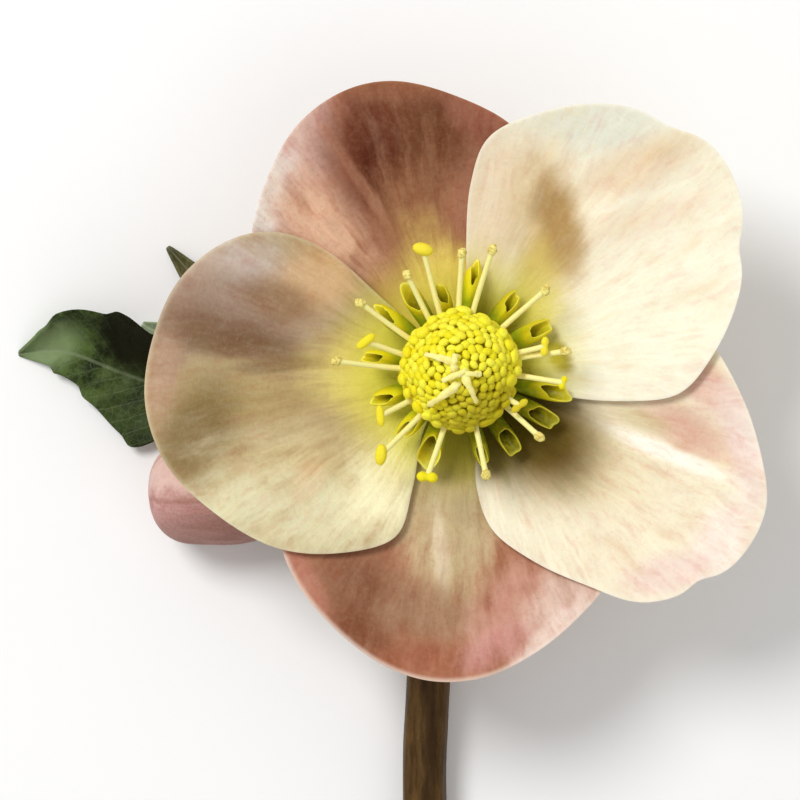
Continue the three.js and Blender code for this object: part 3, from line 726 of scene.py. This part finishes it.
def nectary_finish():
    """Green at the root, yellow at the mouth, with a pale lip and a deep inside; the darkening deep
    inside and on the greener horns in the boss's shadow is painted shade.
    """
    skin = Skin("nectary_skin", (112, 138, 18), 0.35, scatter=(0.3, 1.2))
    along, green = skin.marked("along"), skin.marked("greenness_and_shade")
    grain = skin.speckle(1.2, 3, 0.6)
    skin.coat((168, 182, 24), along, 0.15, 0.55)
    skin.coat((242, 226, 24), along, 0.42, 0.8)
    # painted shade: the greener horns' bodies darken below the lip
    skin.coat((92, 104, 12), skin.times(green, skin.eased(along, 1, 0.85, 0, 0.85)))
    for low, high, ripe, unripe in MOUTH_COLOURS:
        skin.coat(skin.mixed(green, ripe, unripe), along, low, high)
    skin.coat((232, 222, 50), grain, 0.4, 0.7, 0.25)
    return skin.done(grain, 0.08, 0.4)


# ---- stamens

# Spread stamens: azimuth, the anther's reach from the axis, and for an anther that still has its
# pollen, the way it lies, its length, its width and how deep its waist is.
SPREAD_STAMENS = [
    (10, 13.4), (15.5, 11, 86, 2.5, 1.2, 0.4), (43, 14.6), (75, 15.6), (89, 14.6),
    (107, 15.8, -14, 2.7, 1.65, 0), (119, 13.6), (146, 15), (163, 12.3, 38, 2.8, 1.25, 0.1),
    (176, 15.5), (210, 11.5, 96, 2.7, 1.15, 0.1), (227, 14.5, 84, 2.7, 1.5, 0),
    (253, 14, -6, 2.7, 1.65, 0.42), (284, 13.5), (320, 13), (329, 8.7, 38, 2.5, 1.15, 0.4),
    (353, 13, 70, 1.8, 1, 0.4),
]
# Larger anthers that stand out of the boss's rim: azimuth, reach, the way they lie, length, width.
RIM_ANTHERS = [
    (87, 7.5, -20, 2.3, 1.3), (98, 7.3, 30, 1.6, 1.2), (63, 6.9, -50, 1.8, 1.4),
    (41, 7.1, 60, 1.6, 1.3), (27, 6.9, 95, 1.5, 1.2), (15, 7, 72, 2.2, 1.1), (-1, 7.2, 80, 1.5, 1.2),
    (-12, 6.5, 40, 1.8, 1.5), (-36, 7.1, 10, 1.4, 1.1), (-49, 7.2, 30, 1.7, 1.1),
    (-61, 7.3, 15, 2.3, 1.1), (-80, 7.4, 60, 1.5, 1.1), (-91, 7.5, -10, 1.8, 1.2),
    (-113, 7.3, 150, 1.6, 1.1), (-126, 7.1, 20, 1.5, 1.1), (-139, 7.1, 110, 1.7, 1.2),
    (-156, 7.2, 70, 1.4, 1.1), (-171, 7.3, 100, 1.6, 1.2), (173, 7.1, 60, 1.4, 1.1),
    (161, 7, 110, 1.6, 1.2), (147, 6.9, 150, 1.7, 1.3), (135, 6.6, 20, 1.9, 1.5),
    (119, 7.1, 50, 1.6, 1.2),
]
STAMEN_FOOT = (2.0, BLOOM_HEIGHT + 8.2)
STAMEN_BEND_HEIGHT = BLOOM_HEIGHT + 10.6
STAMEN_TIP_HEIGHT = BLOOM_HEIGHT + 13.6
ANTHER_SPACING = 1.07
LOWEST_ANTHER = -0.22  # as a share of the boss's radius, from its middle
ANTHER_SPIN = 34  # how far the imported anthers' lie strays, in degrees
CORE_RADIUS = HEAD_RADIUS - 0.75
# painted shade on the boss's lower right, the side away from the lamp
BOSS_PAINTED_SHADE = (2.6, -5.6, 8.5, 4.4, 32, (182, 168, 16), 0.7)  # a patch, as on the sepals


def make_anther(name, length, width, height, furrow, waist=0, segments=8, rings=6):
    """One anther that lies along X: plump, with a furrow along its top and sometimes a waist."""
    bpy.ops.mesh.primitive_uv_sphere_add(segments=segments, ring_count=rings, radius=1)
    anther = started(name)
    edit(anther)
    bpy.ops.transform.rotate(value=pi / 2, orient_axis="Y", center_override=(0, 0, 0))
    done_editing()
    for vertex in anther.data.vertices:
        x, y, z = vertex.co
        groove = exp(-((y / 0.45) ** 2)) * max(0, z)
        girth = 1 - waist * exp(-((x / 0.35) ** 2))
        vertex.co = (x * length / 2, y * girth * width / 2, (z - furrow * groove) * girth * height / 2)
    return anther


def laid(place, outward, ahead, size=1):
    """Where an anther goes: at a place on a surface that faces outward, pointing ahead."""
    ahead = (ahead - outward * ahead.dot(outward)).normalized()
    turn = Matrix((ahead, outward.cross(ahead), outward)).transposed().to_4x4()
    return Matrix.Translation(spot(*place)) @ turn @ Matrix.Scale(size * MM, 4)


def packed_anthers():
    """Young anthers packed over the boss on a spiral at even spacing, larger round its rim."""
    chance = random.Random(5)
    bead = make_anther("young_anther", 1.5, 1.14, 1.18, 0.22)
    whole = round(4 * pi * HEAD_RADIUS**2 / ANTHER_SPACING**2)
    golden = pi * (3 - sqrt(5))
    beads = []
    for i in range(whole):
        height = 1 - 2 * (i + 0.5) / whole
        if height < LOWEST_ANTHER:
            break
        level = sqrt(1 - height**2)
        outward = Vector((level * cos(i * golden), level * sin(i * golden), height))
        outward = (outward + Vector([chance.uniform(-0.02, 0.02) for _ in range(3)])).normalized()
        rim = 1 - ease(height, 0.0, 0.55)
        size = mix(chance.uniform(0.82, 1.04), chance.uniform(0.95, 1.45), rim)
        stand = HEAD_RADIUS + chance.uniform(-0.25, 0.15) * (1 + rim)
        spin = radians(chance.gauss(0, ANTHER_SPIN))
        aside = UP.cross(outward).normalized()
        ahead = cos(spin) * aside + sin(spin) * outward.cross(aside)
        one = bead.copy()
        one.data = bead.data.copy()
        one.data.transform(laid(HEAD_CENTRE + outward * stand, outward, ahead, size))
        bpy.context.collection.objects.link(one)
        mark(one, "tone", chance.random())
        beads.append(one)
    only(bead)
    bpy.ops.object.delete()
    for azimuth, reach, lie, length, width in RIM_ANTHERS:
        level = sqrt(max(0.2, (HEAD_RADIUS + 0.55) ** 2 - reach**2))
        place = polar(azimuth, reach, HEAD_CENTRE.z + level)
        outward = (place - HEAD_CENTRE).normalized() + 0.5 * UP
        one = make_anther("rim_anther", length, width, width, 0.25, 0, 16, 10)
        one.data.transform(laid(place, outward.normalized(), polar(lie, 1)))
        mark(one, "tone", chance.random())
        beads.append(one)
    return joined(beads, "packed_anthers")


def boss_core():
    """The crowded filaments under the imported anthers, as one green-yellow body with a neck."""
    foot, crown = NECTARY_FLOOR + 1.15, HEAD_CENTRE.z + CORE_RADIUS

    def radius_at(share, turn):
        level = (mix(foot, crown, share) - HEAD_CENTRE.z) / CORE_RADIUS
        neck = mix(2.6, 5.0, ease(share, 0, 0.35))
        full = CORE_RADIUS * sqrt(max(0, 1 - level**2)) if level > -0.2 else neck
        return max(full, 0.05) * (1 + 0.03 * sin(24 * turn))

    return tube("boss_core", upright(foot, crown), radius_at, 72, 28)


def make_filaments():
    filaments = []
    for azimuth, reach, *_ in SPREAD_STAMENS:
        line = smooth_line([
            polar(azimuth, *STAMEN_FOOT),
            polar(azimuth + 2, 0.5 * reach, STAMEN_BEND_HEIGHT),
            polar(azimuth, reach, STAMEN_TIP_HEIGHT),
        ])
        girth = lambda share, turn: mix(0.42, 0.33, share) * (1 + 0.25 * ease(share, 0.88, 1))
        filaments.append(tube("filament", line, girth, 10, 14))
    return joined(filaments, "spread_filaments")


def spent_anther(chance):
    """A shrivelled anther: a small crumpled knob."""
    bpy.ops.mesh.primitive_ico_sphere_add(subdivisions=3, radius=1)
    knob = started("spent_anther")
    seed = Vector([chance.uniform(0, 50) for _ in range(3)])
    for vertex in knob.data.vertices:
        out = vertex.co.normalized()
        crumple = 0.15 * noise.noise(1.6 * out + seed) + 0.05 * noise.noise(4.0 * out + seed)
        vertex.co = out * (0.6 + crumple)
        vertex.co.x *= 1.2
        vertex.co.z *= 0.85
    return knob


def make_end_anthers():
    """The anthers at the spread filaments' tips: spent knobs, and those with their pollen."""
    chance = random.Random(9)
    spent, full = [], []
    for azimuth, reach, *anther in SPREAD_STAMENS:
        if anther:
            lie, length, width, waist = anther
            made = make_anther("full_anther", length, width, width, 0.1, waist, 24, 16)
            full.append(made)
        else:
            lie = azimuth + chance.uniform(-40, 40)
            made = spent_anther(chance)
            spent.append(made)
        tip = polar(azimuth, reach, STAMEN_TIP_HEIGHT)
        made.data.transform(laid(tip, UP, polar(lie, 1)))
        mark(made, "tone", chance.random())
    return joined(spent, "spent_anthers"), joined(full, "full_anthers")


def make_stamens():
    spent, full = make_end_anthers()
    dressed(packed_anthers(), "stamens", pollen_finish("young_anther_skin", 0.0))
    dressed(boss_core(), "stamens", core_finish())
    dressed(make_filaments(), "stamens", filament_finish())
    dressed(full, "stamens", pollen_finish("full_anther_skin", 0.35))
    dressed(spent, "stamens", spent_finish())


def pollen_finish(name, ripeness):
    """Bright yellow with a dusty grain, more orange as it ripens, and painted shade over the boss's
    lower right, away from the lamp.
    """
    skin = Skin(name, (244, 230, 24), 0.6, scatter=(0.2, 0.6))
    tone = skin.marked("tone")
    grain = skin.speckle(4.5, 3, 0.7)
    skin.coat((255, 248, 76), tone)
    skin.coat((230, 208, 24), grain, 0.45, 0.75, 0.6)
    skin.patch(BOSS_PAINTED_SHADE, 0)
    skin.coat((228, 178, 30), skin.times(tone, ripeness))
    return skin.done(grain, 0.1, 0.7)


def core_finish():
    skin = Skin("boss_core_skin", (220, 204, 14), 0.6)
    grain = skin.speckle(1.6, 3, 0.6)
    skin.coat((244, 230, 36), grain)
    return skin.done(grain, 0.3, 0.6)


def filament_finish():
    """Pale cream, greener at the foot."""
    skin = Skin("filament_skin", (214, 208, 74), 0.4, scatter=(0.25, 0.8))
    grain = skin.speckle(2, 2, 0.6)
    skin.coat((252, 242, 162), skin.marked("along"), 0.1, 0.5)
    skin.coat((244, 232, 132), grain, 0.4, 0.75, 0.35)
    return skin.done(grain, 0.08, 0.5)


def spent_finish():
    """Empty anther walls: whitish, with brownish creases."""
    skin = Skin("spent_anther_skin", (248, 236, 140), 0.65)
    grain = skin.speckle(3, 3, 0.7)
    skin.coat((208, 176, 74), grain, 0.4, 0.68)
    return skin.done(grain, 0.2, 0.8)


# ---- styles

# Each style, seen from above: where it comes up between the anthers and where it ends, and its
# half width at both.
STYLES = [
    ((-0.9, 0.25), (-0.6, 1.9), 0.5, 0.4), ((-1.5, 1.2), (-4.4, 1.95), 0.5, 0.3),
    ((0.4, -0.3), (-2.3, -1.4), 0.46, 0.28), ((-0.7, -2.2), (-4, -4.45), 0.54, 0.32),
    ((0.6, -1), (2, -4.15), 0.54, 0.27), ((0.5, -0.5), (2.6, -0.5), 0.4, 0.33),
]
COLUMN_RADIUS = 1.3
STYLE_CLEARANCE = 0.9  # the styles' middle line above the anthers' middles


def style_line(start, end):
    """Up between the anthers and out over them."""
    over = HEAD_RADIUS + STYLE_CLEARANCE
    start, end = Vector(start), Vector(end)

    def at(place, lift):
        up = sqrt(over**2 - place.length_squared)
        return HEAD_CENTRE + Vector((place.x, place.y, up)) * (1 + lift / over)

    half_way = at((start + end) / 2, 0.15)
    return smooth_line([at(0.9 * start, -1.9), at(start, -0.4), half_way, at(end, 0)])


def make_styles():
    crown = HEAD_CENTRE.z + HEAD_RADIUS + 0.2
    foot = NECTARY_FLOOR + NECTARY_RING_THICKNESS + 0.15

    def radius_at(share, turn):
        taper = 1 - 0.6 * ease(share, 0.9, 1)
        return COLUMN_RADIUS * (1 + 0.08 * cos(5 * turn)) * taper

    column = tube("carpels", upright(foot, crown), radius_at, 40, 20)
    styles = [make_style(*style) for style in STYLES]
    dressed(joined([column, *styles], "style_cluster"), "styles", style_finish())


def make_style(start, end, thick, thin):
    """One style: a soft, flattened stub with a crumpled tip."""

    def girth(share, turn):
        crumpled = 0.5 * noise.noise(Vector((6 * share + 3 * end[0], cos(turn), sin(turn))))
        tip = 1 + 0.25 * ease(share, 0.86, 0.95) - 0.5 * ease(share, 0.95, 1)
        return mix(thick, thin, ease(share, 0.35, 0.9)) * (tip + crumpled)

    style = tube("style", style_line(start, end), girth, 14, 24)
    centre = spot(*HEAD_CENTRE)
    for vertex in style.data.vertices:
        outward = vertex.co - centre
        level = mix(outward.length, (HEAD_RADIUS + STYLE_CLEARANCE) * MM, 0.35)
        vertex.co = centre + level * outward.normalized()
    return style


def style_finish():
    """Pale cream and slightly see-through, with deeper cream in the grain."""
    skin = Skin("style_skin", (253, 243, 160), 0.45, scatter=(0.15, 0.6))
    grain = skin.speckle(2.5, 3, 0.7)
    skin.coat((248, 232, 118), grain, 0.4, 0.7)
    return skin.done(grain, 0.12, 0.6)


# ---- stem

STEM_PATH = [
    (2.6, -105, STEM_RADIUS - 0.1), (0.2, -88, 3.1), (-2.8, -72, 3.4), (-4.3, -56, 3.5),
    (-3.8, -40, 3.45), (-2.9, -26, 3.4), (-2, -15.5, 2.7), (-1.1, -8.8, 2), (-0.35, -3.2, 4.2),
    (0, -0.6, 8.2), (0, 0, 11.2), (0, 0, 13), (0, 0, NECTARY_FLOOR - 0.15),
]
FLARE = (BLOOM_HEIGHT - 2.1, BLOOM_HEIGHT - 0.5)
TAPER = (-30, -10)
NODE_Y = -20
LINE_SAMPLES = 400
NODE_SWELLING = 0.45
NODE_LENGTH = 3.5
# a strip of painted shade along the stem's side away from the lamp
STEM_PAINTED_SHADE = (-3.6, -52, 32, 1.2, 90, (44, 28, 10), 0.6)
CUT_SHARE = 0.0005  # of the stem's length; what lies before it is the cut
PITH = (200, 200, 148)
CUT_RINGS = [  # outwards from the pith: colour, and the shares of the radius where it comes in
    ((146, 152, 78), 0.3, 0.62), ((186, 184, 124), 0.66, 0.74), ((84, 70, 34), 0.84, 0.96),
]


def stem_radius(place):
    if place.z > FLARE[0]:
        share = min(1, (place.z - FLARE[0]) / (FLARE[1] - FLARE[0]))
        return mix(PEDICEL_RADIUS, RECEPTACLE_RADIUS, share)
    swelling = NODE_SWELLING * exp(-(((place.y - NODE_Y) / NODE_LENGTH) ** 2))
    return mix(STEM_RADIUS, PEDICEL_RADIUS, ease(place.y, *TAPER)) + swelling


def even_line(points):
    """A smooth line through the points, with the share of the way measured along its length."""
    line = smooth_line(points)
    places = [line(k / LINE_SAMPLES) for k in range(LINE_SAMPLES + 1)]
    lengths = [0, *accumulate((b - a).length for a, b in zip(places, places[1:]))]
    return lambda share: places[min(bisect_left(lengths, share * lengths[-1]), LINE_SAMPLES)]


def make_stem():
    line = even_line(STEM_PATH)

    def radius_at(share, turn):
        place = line(share)
        ribs = 0.05 * cos(7 * turn) + 0.04 * uneven(turn, place.y / 6)
        return stem_radius(place) * (1 + 0.5 * ribs)

    stem = tube("main_stem", line, radius_at, 36, 150)
    dressed(stem, "stem", stem_finish("stem_skin", 0.15))

    def stalk_radius(share, turn):
        flare = 0.6 * ease(share, 0.84, 1)
        return STALK_RADIUS * (1.15 - 0.2 * share + flare + 0.04 * cos(5 * turn))

    stalk = tube("bud_stalk", even_line(BUD_STALK_PATH), stalk_radius, 20, 40)
    dressed(stalk, "stem", stem_finish("bud_stalk_skin", 0.6))


def stem_finish(name, redness):
    """Brown-olive with reddish streaks along it and small pale dots, greener under the bloom, with a
    strip of painted shade along the side away from the lamp.
    """
    skin = Skin(name, (62, 42, 18), 0.45, specular=0.1)
    streaks = skin.speckle(0.9, 4, 0.6, skin.place(size=(1, 6, 1)))
    fine = skin.speckle(4, 2, 0.6, skin.place(size=(1, 3, 1)))
    skin.coat((98, 72, 36), streaks, 0.3, 0.7)
    skin.coat((104, 56, 40), streaks, 0.55, 0.75, mix(0.25, 0.8, redness))
    skin.coat((122, 102, 66), fine, 0.6, 0.75, 0.3)
    skin.patch(STEM_PAINTED_SHADE, skin.minus(streaks, 0.5))

    out = skin.reach(STEM_PATH[0], 0, (STEM_RADIUS, EVERYWHERE, STEM_RADIUS))
    out = skin.plus(out, skin.times(skin.minus(fine, 0.5), 0.25))
    flesh = PITH
    for colour, low, high in CUT_RINGS:
        flesh = skin.mixed(skin.eased(out, low, high), flesh, colour)
    skin.coat(flesh, skin.maths("LESS_THAN", skin.marked("along"), CUT_SHARE))
    height = skin.node("SeparateXYZ", {0: skin.place()})[2]
    skin.coat((150, 156, 58), height, 8.5, 12.5)
    return skin.done(skin.plus(streaks, skin.times(fine, 0.3)), 0.12, 0.5)


# ---- bud

BUD_BASE = Vector((-20.0, -14.9, 7.2))
BUD_DIRECTION = Vector((-20.2, -1.1, -0.7)).normalized()
BUD_STALK_PATH = [
    (-3.0, -27.0, 3.1), (-7.2, -25.8, 4.6), (-11.2, -21.8, 6.1), (-14.0, -17.6, 7.0),
    *[BUD_BASE - back * BUD_DIRECTION for back in (3, -0.5)],
]
BUD_LAPS = 5
BUD_SIZE = 0.965  # the least radius between the laps, as a share
LAP_RISE = 0.035
BUD_PATCHES = [
    (-36, -12.6, 9, 4, 0, (226, 198, 184), 0.6), (-31, -21.4, 14, 4.4, 4, (126, 88, 72), 0.55),
]


def bud_width(share):
    """The bud's radius, as a share of its largest: tapered to the stalk and blunt at the tip."""
    if share < 0.5:
        return (0.3 + 0.7 * sin(pi / 2 * (2 * share) ** 0.7)) * min(1, share / 0.012) ** 0.5
    return (1 - min(1, 2 * share - 1) ** 3.6) ** 0.455


def make_bud():
    """A closed bud: sepals that wrap it, each edge lying over the next one."""
    bpy.ops.mesh.primitive_uv_sphere_add(segments=110, ring_count=48, radius=1)
    bud = started("closed_bud")
    side = BUD_DIRECTION.cross(UP).normalized()
    top = side.cross(BUD_DIRECTION)

    def wrapped(co):
        """How far over from one lapping edge to the next, from 0 to 1."""
        share = (1 - co.z) / 2
        laps = atan2(co.y, co.x) / tau * BUD_LAPS
        return (laps + 0.55 * share + 0.25 * sin(3.1 * share)) % 1

    mark(bud, "along", lambda co: (1 - co.z) / 2)
    mark(bud, "lap", lambda co: ease(abs(wrapped(co) - 0.96), 0.1, 0))
    for vertex in bud.data.vertices:
        share = (1 - vertex.co.z) / 2
        turn = atan2(vertex.co.y, vertex.co.x)
        wrap = wrapped(vertex.co)
        proud = BUD_SIZE + LAP_RISE * ease(wrap, 0, 0.85) - 0.03 * ease(wrap, 0.93, 1)
        ribs = 0.006 * cos(tau * 6 * wrap)
        dimple = 0.012 * uneven(turn, 5 * share)
        size = BUD_RADIUS * bud_width(max(share, 0)) * (proud + ribs + dimple)
        place = BUD_BASE + share * BUD_LENGTH * BUD_DIRECTION
        place += size * (cos(turn) * side + sin(turn) * top)
        vertex.co = spot(place.x, place.y, max(place.z, 0))
    smoothed(faced_outwards(bud))
    dressed(bud, "bud", bud_finish())


def bud_finish():
    """Dusty pink, mottled, with darker sides, a greenish base and brownish sepal margins."""
    skin = Skin("bud_skin", (210, 164, 156), 0.5, scatter=(0.15, 1))
    streaks = skin.speckle(0.5, 4, 0.6, skin.place(BUD_BASE, 183, (3, 1, 1)))
    grain = skin.speckle(2.6, 3, 0.75)
    skin.coat((182, 130, 120), streaks, 0.3, 0.7)
    skin.coat((156, 96, 96), grain, 0.45, 0.72, 0.45)
    skin.coat((228, 184, 176), grain, 0.48, 0.28, 0.4)
    for patch in BUD_PATCHES:
        skin.patch(patch, skin.minus(streaks, 0.5))
    skin.coat((150, 140, 84), skin.marked("along"), 0.3, 0, 0.7)
    skin.coat((150, 98, 78), skin.times(skin.marked("lap"), 0.5))
    return skin.done(skin.plus(streaks, skin.times(grain, 0.3)), 0.12, 0.4)


# ---- bract leaves

# Each leaf runs from its base on the stem to its tip. left and right are the half widths beside
# the rib at even steps, seen from above and looking to the tip; lifts raise the margins. lit and
# shaded are painted light and painted shade on the green. The patches lie under the veins and the
# shadows, painted shadow, over them; the left leaf's patch is a painted pool of light near its tip.
LEFT_LEAF = dict(
    name="leaf_left",
    rib=[
        (-6.1, -20.5, 3), (-14, -15.6, 2.6), (-24, -9, 2.1), (-34, -3.6, 1.7), (-44, -0.2, 1.3),
        (-52, 2.7, 1.3), (-57.7, 2.3, 0.4),
    ],
    left=[1, 1.6, 2, 1.8, 1.8, 3.9, 8.2, 4.8, 2.9, 1.8, 0.2],
    right=[1, 1.8, 2.6, 3.2, 3.7, 4.2, 5.6, 6.7, 5.6, 2.4, 0.2],
    lifts=(0.6, 4.6), teeth=8, green=(24, 34, 6), lit=(84, 104, 50), shaded=(18, 22, 4),
    patches=[(-53.2, 3.2, 4.8, 3, 20, (146, 168, 116), 0.65)],
    shadows=[(-41.4, 2.8, 8, 5, -38, (18, 16, 1), 0.92)],
)
MIDDLE_LEAF = dict(
    name="leaf_middle",
    rib=[
        (-5.2, -16.8, 1.9), (-14, -10.8, 1.1), (-24, -4.4, 0.6), (-33, 1.3, 0.5), (-41.4, 6.3, 0.7),
    ],
    left=[0.9, 1.6, 2.4, 3.1, 3.5, 3.6, 3.5, 3.3, 3, 2.2, 0.3],
    right=[0.9, 1.6, 2.4, 3.1, 3.5, 3.6, 3.6, 3.5, 3.1, 2.2, 0.3],
    lifts=(0.2, 0.5), teeth=6, green=(130, 148, 110), lit=(180, 194, 154), shaded=(48, 62, 34),
    patches=[],
    shadows=[],
)
UPPER_LEAF = dict(
    name="leaf_upper",
    rib=[
        (-4.7, -13.4, 3.1), (-13, -7.4, 3.9), (-22, 0.2, 3.6), (-30.5, 8, 2), (-38.1, 16.4, 0.4),
    ],
    left=[0.9, 2, 3, 3.9, 4.4, 4.4, 4, 3.3, 2.4, 1.4, 0.2],
    right=[0.9, 2, 3, 3.9, 4.4, 4.5, 4.1, 3.4, 2.5, 1.4, 0.2],
    lifts=(1.4, 1.4), teeth=7, green=(62, 62, 32), lit=(96, 92, 56), shaded=(50, 50, 24),
    patches=[],
    shadows=[],
)
LEAVES = [LEFT_LEAF, MIDDLE_LEAF, UPPER_LEAF]
SAMPLES_PER_TOOTH = 8
TOOTH_DEPTH = 0.9
PUCKER = 0.16  # between the side veins
RIB_GROOVE = 0.25
STRIPS = 14  # across the whole leaf
VEIN_SPACING = 3.2  # between side veins, along the rib
VEIN_SWEEP = 1.5  # how much further along a side vein ends, for each millimetre aside


def make_leaf(leaf):
    steps = leaf["teeth"] * SAMPLES_PER_TOOTH
    bpy.ops.mesh.primitive_grid_add(x_subdivisions=steps, y_subdivisions=STRIPS, size=2)
    blade = started(leaf["name"] + "_blade")
    rib = smooth_line(leaf["rib"])
    length = sum((rib((k + 1) / steps) - rib(k / steps)).length for k in range(steps))
    widths = {1: profile(leaf["left"]), -1: profile(leaf["right"])}
    lifts = {1: leaf["lifts"][0], -1: leaf["lifts"][1]}
    along, aside = [], []
    for vertex in blade.data.vertices:
        run = (vertex.co.x + 1) / 2
        side = 1 if vertex.co.y > 0 else -1
        share = abs(vertex.co.y)
        ahead = (rib(min(run + 0.005, 1)) - rib(max(run - 0.005, 0))).normalized()
        across = Vector((-ahead.y, ahead.x, 0)).normalized()
        width = widths[side](run)
        tooth = TOOTH_DEPTH * ((run * leaf["teeth"]) % 1) * share**6 if width > 2 else 0
        out = share * width + tooth
        vein = (run * length - VEIN_SWEEP * out * 0.6) / VEIN_SPACING
        pucker = PUCKER * cos(tau * vein) * sin(pi * share) * min(1, width / 3)
        groove = -RIB_GROOVE * exp(-((out / 0.5) ** 2))
        lift = lifts[side] * share**2 * ease(run, 0.25, 0.6) * (1 - run**8)
        place = rib(run) + across * side * out + UP * (lift + pucker + groove)
        vertex.co = spot(place.x, place.y, max(place.z, LEAF_THICKNESS / 2 + 0.05))
        along.append(run * length)
        aside.append(side * out)
    for name, values in (("along", along), ("aside", aside)):
        blade.data.attributes.new(name, "FLOAT", "POINT").data.foreach_set("value", values)
    modified(blade, "SOLIDIFY", thickness=LEAF_THICKNESS * MM, offset=0)
    smoothed(blade)
    dressed(blade, leaf["name"], leaf_finish(leaf))


def leaf_finish(leaf):
    """Waxy green with a pale midrib, side veins swept to the tip and a fine net between them, with
    painted light in lit blotches and painted shade that grows away from the tip.
    """
    skin = Skin(leaf["name"] + "_skin", leaf["green"], 0.42, specular=0.1)
    aside = skin.maths("ABSOLUTE", skin.marked("aside"))
    swept = skin.minus(skin.marked("along"), skin.times(aside, VEIN_SWEEP))
    wander = skin.times(skin.speckle(0.3), 0.5)
    wave = skin.plus(skin.maths("DIVIDE", swept, VEIN_SPACING), wander)
    side_veins = skin.eased(skin.maths("PINGPONG", wave, 0.5), 0.07, 0)
    midrib = skin.eased(aside, 0.36, 0.08)
    cells = skin.node("TexVoronoi", {"Vector": skin.place(), "Scale": 1.1}, feature="DISTANCE_TO_EDGE")
    net = skin.eased(cells["Distance"], 0.07, 0)
    cloud = skin.speckle(0.22, 3, 0.6)
    grain = skin.speckle(2, 3, 0.6)
    ragged = skin.minus(cloud, 0.5)

    skin.coat(leaf["lit"], cloud, 0.36, 0.7)
    skin.coat(leaf["lit"], grain, 0.4, 0.75, 0.35)
    skin.coat(leaf["green"], grain, 0.48, 0.28, 0.5)
    x, y, _ = leaf["rib"][-1]
    # painted shade: darker away from the tip, where the leaf runs in under the bloom
    skin.coat(leaf["shaded"], skin.reach((x, y, 0)), 8, 19, 0.6)
    for patch in leaf["patches"]:
        skin.patch(patch, ragged)
    pale = tuple(mix(part, 190, 0.4) for part in leaf["lit"])
    for veins, strength in ((net, 0.14), (side_veins, 0.18), (midrib, 0.5)):
        skin.coat(pale, skin.times(veins, strength))
    for patch in leaf["shadows"]:
        skin.patch(patch, ragged)
    relief = skin.minus(grain, skin.times(skin.plus(side_veins, net), 0.5))
    return skin.done(relief, 0.1, 0.35)


# ---- table, light and camera

CAMERA_SPOT = (-7.5, -3.75, 526.5)  # straight above, looking down
LENS = 180
SENSOR_WIDTH = 36
ROOM_LIGHT = 0.51
# A soft lamp from the upper left and a wide faint one from the other side: azimuth, elevation,
# distance, width and power.
LAMPS = [("window_lamp", 138, 53, 1.2, 0.5, 8.9), ("far_lamp", -40, 60, 1.5, 1.2, 2)]


def make_table():
    bpy.ops.mesh.primitive_plane_add(size=4)
    table = started("table_top")
    paper = Skin("table_paper", (247, 247, 246), 0.8)
    paper.coat((250, 250, 249), paper.speckle(0.02))
    table.data.materials.append(paper.done())


def make_light():
    for name, azimuth, elevation, distance, size, power in LAMPS:
        rise = radians(elevation)
        out = polar(azimuth, cos(rise), sin(rise))
        bpy.ops.object.light_add(type="AREA", location=BLOOM_AXIS + out * distance)
        light = bpy.context.object
        light.name = name
        light.rotation_euler = out.to_track_quat("Z", "Y").to_euler()
        light.data.shape = "DISK"
        light.data.size = size
        light.data.energy = power
    world = bpy.data.worlds.new("pale_room")
    world.use_nodes = True
    background = world.node_tree.nodes["Background"]
    background.inputs["Color"].default_value = (1, 1, 1, 1)
    background.inputs["Strength"].default_value = ROOM_LIGHT
    bpy.context.scene.world = world
    bpy.context.scene.view_settings.view_transform = "Standard"


def make_camera():
    bpy.ops.object.camera_add(location=spot(*CAMERA_SPOT), rotation=(0, 0, 0))
    camera = bpy.context.object
    camera.data.lens = LENS
    camera.data.sensor_width = SENSOR_WIDTH
    bpy.context.scene.camera = camera


make_camera()
make_light()
make_table()
for sepal in SEPALS:
    make_sepal(sepal)
make_nectaries()
make_stamens()
make_styles()
make_stem()
make_bud()
for leaf in LEAVES:
    make_leaf(leaf)
